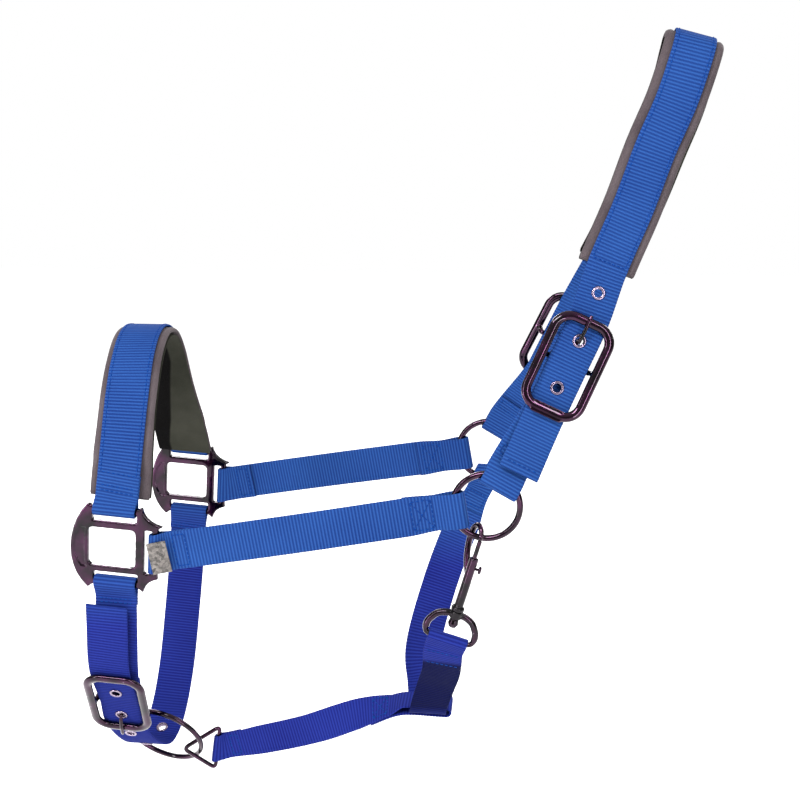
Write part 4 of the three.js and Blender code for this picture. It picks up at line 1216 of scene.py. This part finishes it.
def add_chin():
    start, x, back = NEAR.bar("chin"), vec(1, 0, 0), vec(-1, 0, 0)
    lower = [(at, x) for at in ((-357.5, -69.2, -374), (-362, -60, -408), CHIN.origin)]
    upper = Run([(start, NEAR.square.x), *lower])
    square_end = bar_fold(SQUARE_FOLD, 15, 9, NEAR.square.x)
    bar_end = bar_fold(BAR_FOLD, 24, 8, CHIN.x)
    square_rows = rows_across(11, 11, 13.6)
    lines = square_rows + box_lines(upper.length - 22, upper.length - 13, 11, False)
    web_piece("chin_buckle_strap", upper, NOSE_W, square_end, bar_end, [tongue_slot(CHIN)], lines)
    buckle("chin_buckle", CHIN, False)
    tongue("chin_tongue", CHIN)
    bar_stop = 9
    run = Run([
        (FAR.bar("chin"), -FAR.square.x), ((-354.2, 68.5, -384), back), ((-356.3, 63, -413), back),
        ((-359.3, 51, -456.8), back), ((-361, 35, -482.2), back), ((-361.5, 20, -491.5), back),
        ((-363, 4, -494.6), back), ((-365.5, -12, -486.5), back),
        (CHIN.point(0, BUCKLE_TOP, STRAP_RISE), back), (CHIN.point(0, 0, STRAP_RISE), back),
        (CHIN.point(2, BUCKLE_BOTTOM, STRAP_RISE), back), ((-364.5, -69.5, -394), back),
        ((-362.3, -73.4, -374), back), ((-361, -75.2, -354), back),
    ])
    drills = []
    for k in range(-1, 4):
        place = run.hole(run.marks[bar_stop] - TONGUE_EYELET - k * CHIN_PITCH)
        eyelet(f"chin_eyelet_{k + 2}", place)
        drills.append(drill(place))
    web_piece("chin_strap", run, NOSE_W, square_end, cutters=drills, lines=square_rows)
    wire_ring("chin_ring", CHIN_RING, CHIN_RING_R, CHIN_RING_WIRE)


def add_throat():
    flat = vec(-1, 0, 0)
    tangent = vec(-0.999, 0, 0.05)
    run = Run([
        (FAR.ring + vec(-0.05, 0, -0.999) * RING_R, tangent), ((-135.8, 58, -327.2), (-0.92, 0, 0.38)),
        ((-154.6, 49, -378.2), (-0.95, 0, 0.3)), ((-166, 28, -425.1), (-0.99, 0, 0.1)),
        ((-163.7, 20, -442.5), flat), ((-162.6, 15.3, -449.6), flat), ((-161.6, 9.5, -452.2), flat),
        ((-160.6, 0, -452.4), flat), ((-159.6, -9.5, -452.2), flat), ((-158.7, -15.3, -449.6), flat),
        ((-157, -20.5, -440.5), flat), ((-152.2, -31, -422), (-0.98, 0, 0.15)),
        ((-147.5, -46, -402), (-0.975, 0, 0.2)),
        (SNAP.origin - 12 * vec(0.265, -0.35, 0.9), (-0.96, 0, 0.28)), (SNAP.origin, (-0.96, 0, 0.28)),
    ])
    ring_end = ring_fold(STRAP_W, 26, tangent)
    eye_end = bar_fold(EYE_WIRE + GAP + WEB / 2, 30, 9, SNAP.x)

    def width(s):
        return STRAP_W - THROAT_GATHER * (1 - smooth((s - 12) / 30))

    lines = box_lines(13, 23, 7, False) + rows_across(10.5, run.length - 13, run.length - 27)
    # the throat strap's webbing has painted shade on its doubled end near the snap
    web_piece("throat_strap", run, width, ring_end, eye_end, lines=lines, material=SHADED_THROAT_WEBBING)


def add_jaw():
    triangle("triangle_link", TRIANGLE)
    across = vec(-0.1, 0.99, 0)
    run = Run([
        (TRIANGLE.origin, TRIANGLE.y), ((-283.3, 4, -489.5), (0, 0.05, 1)),
        ((-245, 2.5, -477.5), (0, 0.15, 1)), ((-211, 1, -463), (0, 0.6, 0.75)),
        ((-190, 0, JAW_LEVEL - 3), (0, 0.95, 0.3)),
        ((-177, 0, JAW_LEVEL), across), ((-145.8, 0, JAW_LEVEL), across),
    ])
    front = bar_fold(TRIANGLE_WIRE + WEB / 2 + 0.5, 20, 8, TRIANGLE.y)
    rear = dict(radius=WEB + 1.2, back=26, neck=9, slot=31, meets=level)

    def width(s):
        return JAW_W - JAW_GATHER * (1 - smooth((s - 8) / 30))

    lines = box_lines(11, 17, 7.5, False) + box_lines(run.length - 54, run.length - 43, 8)
    web_piece("jaw_strap", run, width, front, rear, lines=lines)


def add_tag():
    """A woven label sewn to the cheek strap: bowed a little, with a turned edge."""
    place = facing(NEAR.square.point(32.4, -1, 5.6), vec(-0.19, 0, 0.98), vec(0.1, -1, 0))
    half_w, half_h, thick = 6.25, 10.25, 0.8
    x = np.sin(np.linspace(-0.5, 0.5, 25) * math.pi)[None, :] * half_w
    y = np.linspace(-half_h, half_h, 41)[:, None]
    curl = 0.25 * np.cos(x / half_w * math.pi / 2) * np.cos(y / half_h * 2.2) - 0.25
    edge = np.sqrt(np.clip(1 - np.abs(x / half_w) ** 8, 0, 1))
    rim = 0.18 * smooth((np.maximum(np.abs(x) / half_w, np.abs(y) / half_h) - 0.84) / 0.08)
    up = (curl + thick / 2 * edge + rim * edge)[..., None]
    down = (curl - thick / 2 * edge)[..., None]
    flat = np.stack(np.broadcast_arrays(x, y), axis=-1)
    rings = ring_of(np.concatenate([flat, up], axis=-1), np.concatenate([flat, down], axis=-1))
    points, faces = tube(rings)
    weave = np.reshape(ring_of(flat[..., ::-1], flat[..., ::-1]), (-1, 2))
    obj = new_object("name_tag.woven", place.points(points), faces, weave)
    dress(obj, LABEL, "name_tag")


add_camera()
add_world()
add_floor()
for light_name, setting in LIGHTS.items():
    add_light(light_name, *setting)

WEBBING = webbing_finish("webbing")
SHADED_THROAT_WEBBING = webbing_finish("throat_webbing_painted_shade", painted_shade_end=True)
NEOPRENE = neoprene_finish()
LINING = lining_finish()
METAL = metal_finish("metal", (0.003, 0.0015, 0.003), (0.03, 0.005, 0.024), (0.32, 0.24, 0.32), 0.07)
EYELET = metal_finish("eyelet", (0.16, 0.12, 0.18), (0.26, 0.2, 0.28), (0.45, 0.4, 0.45), 0.14)
THREAD = thread_finish()
LABEL = label_finish()

add_side(NEAR)
add_side(FAR)
add_crown()
add_noseband()
add_chin()
add_throat()
add_jaw()
snap_eye()
snap_hook()
snap_bolt()
snap_spring()
add_tag()

bpy.context.view_layer.update()
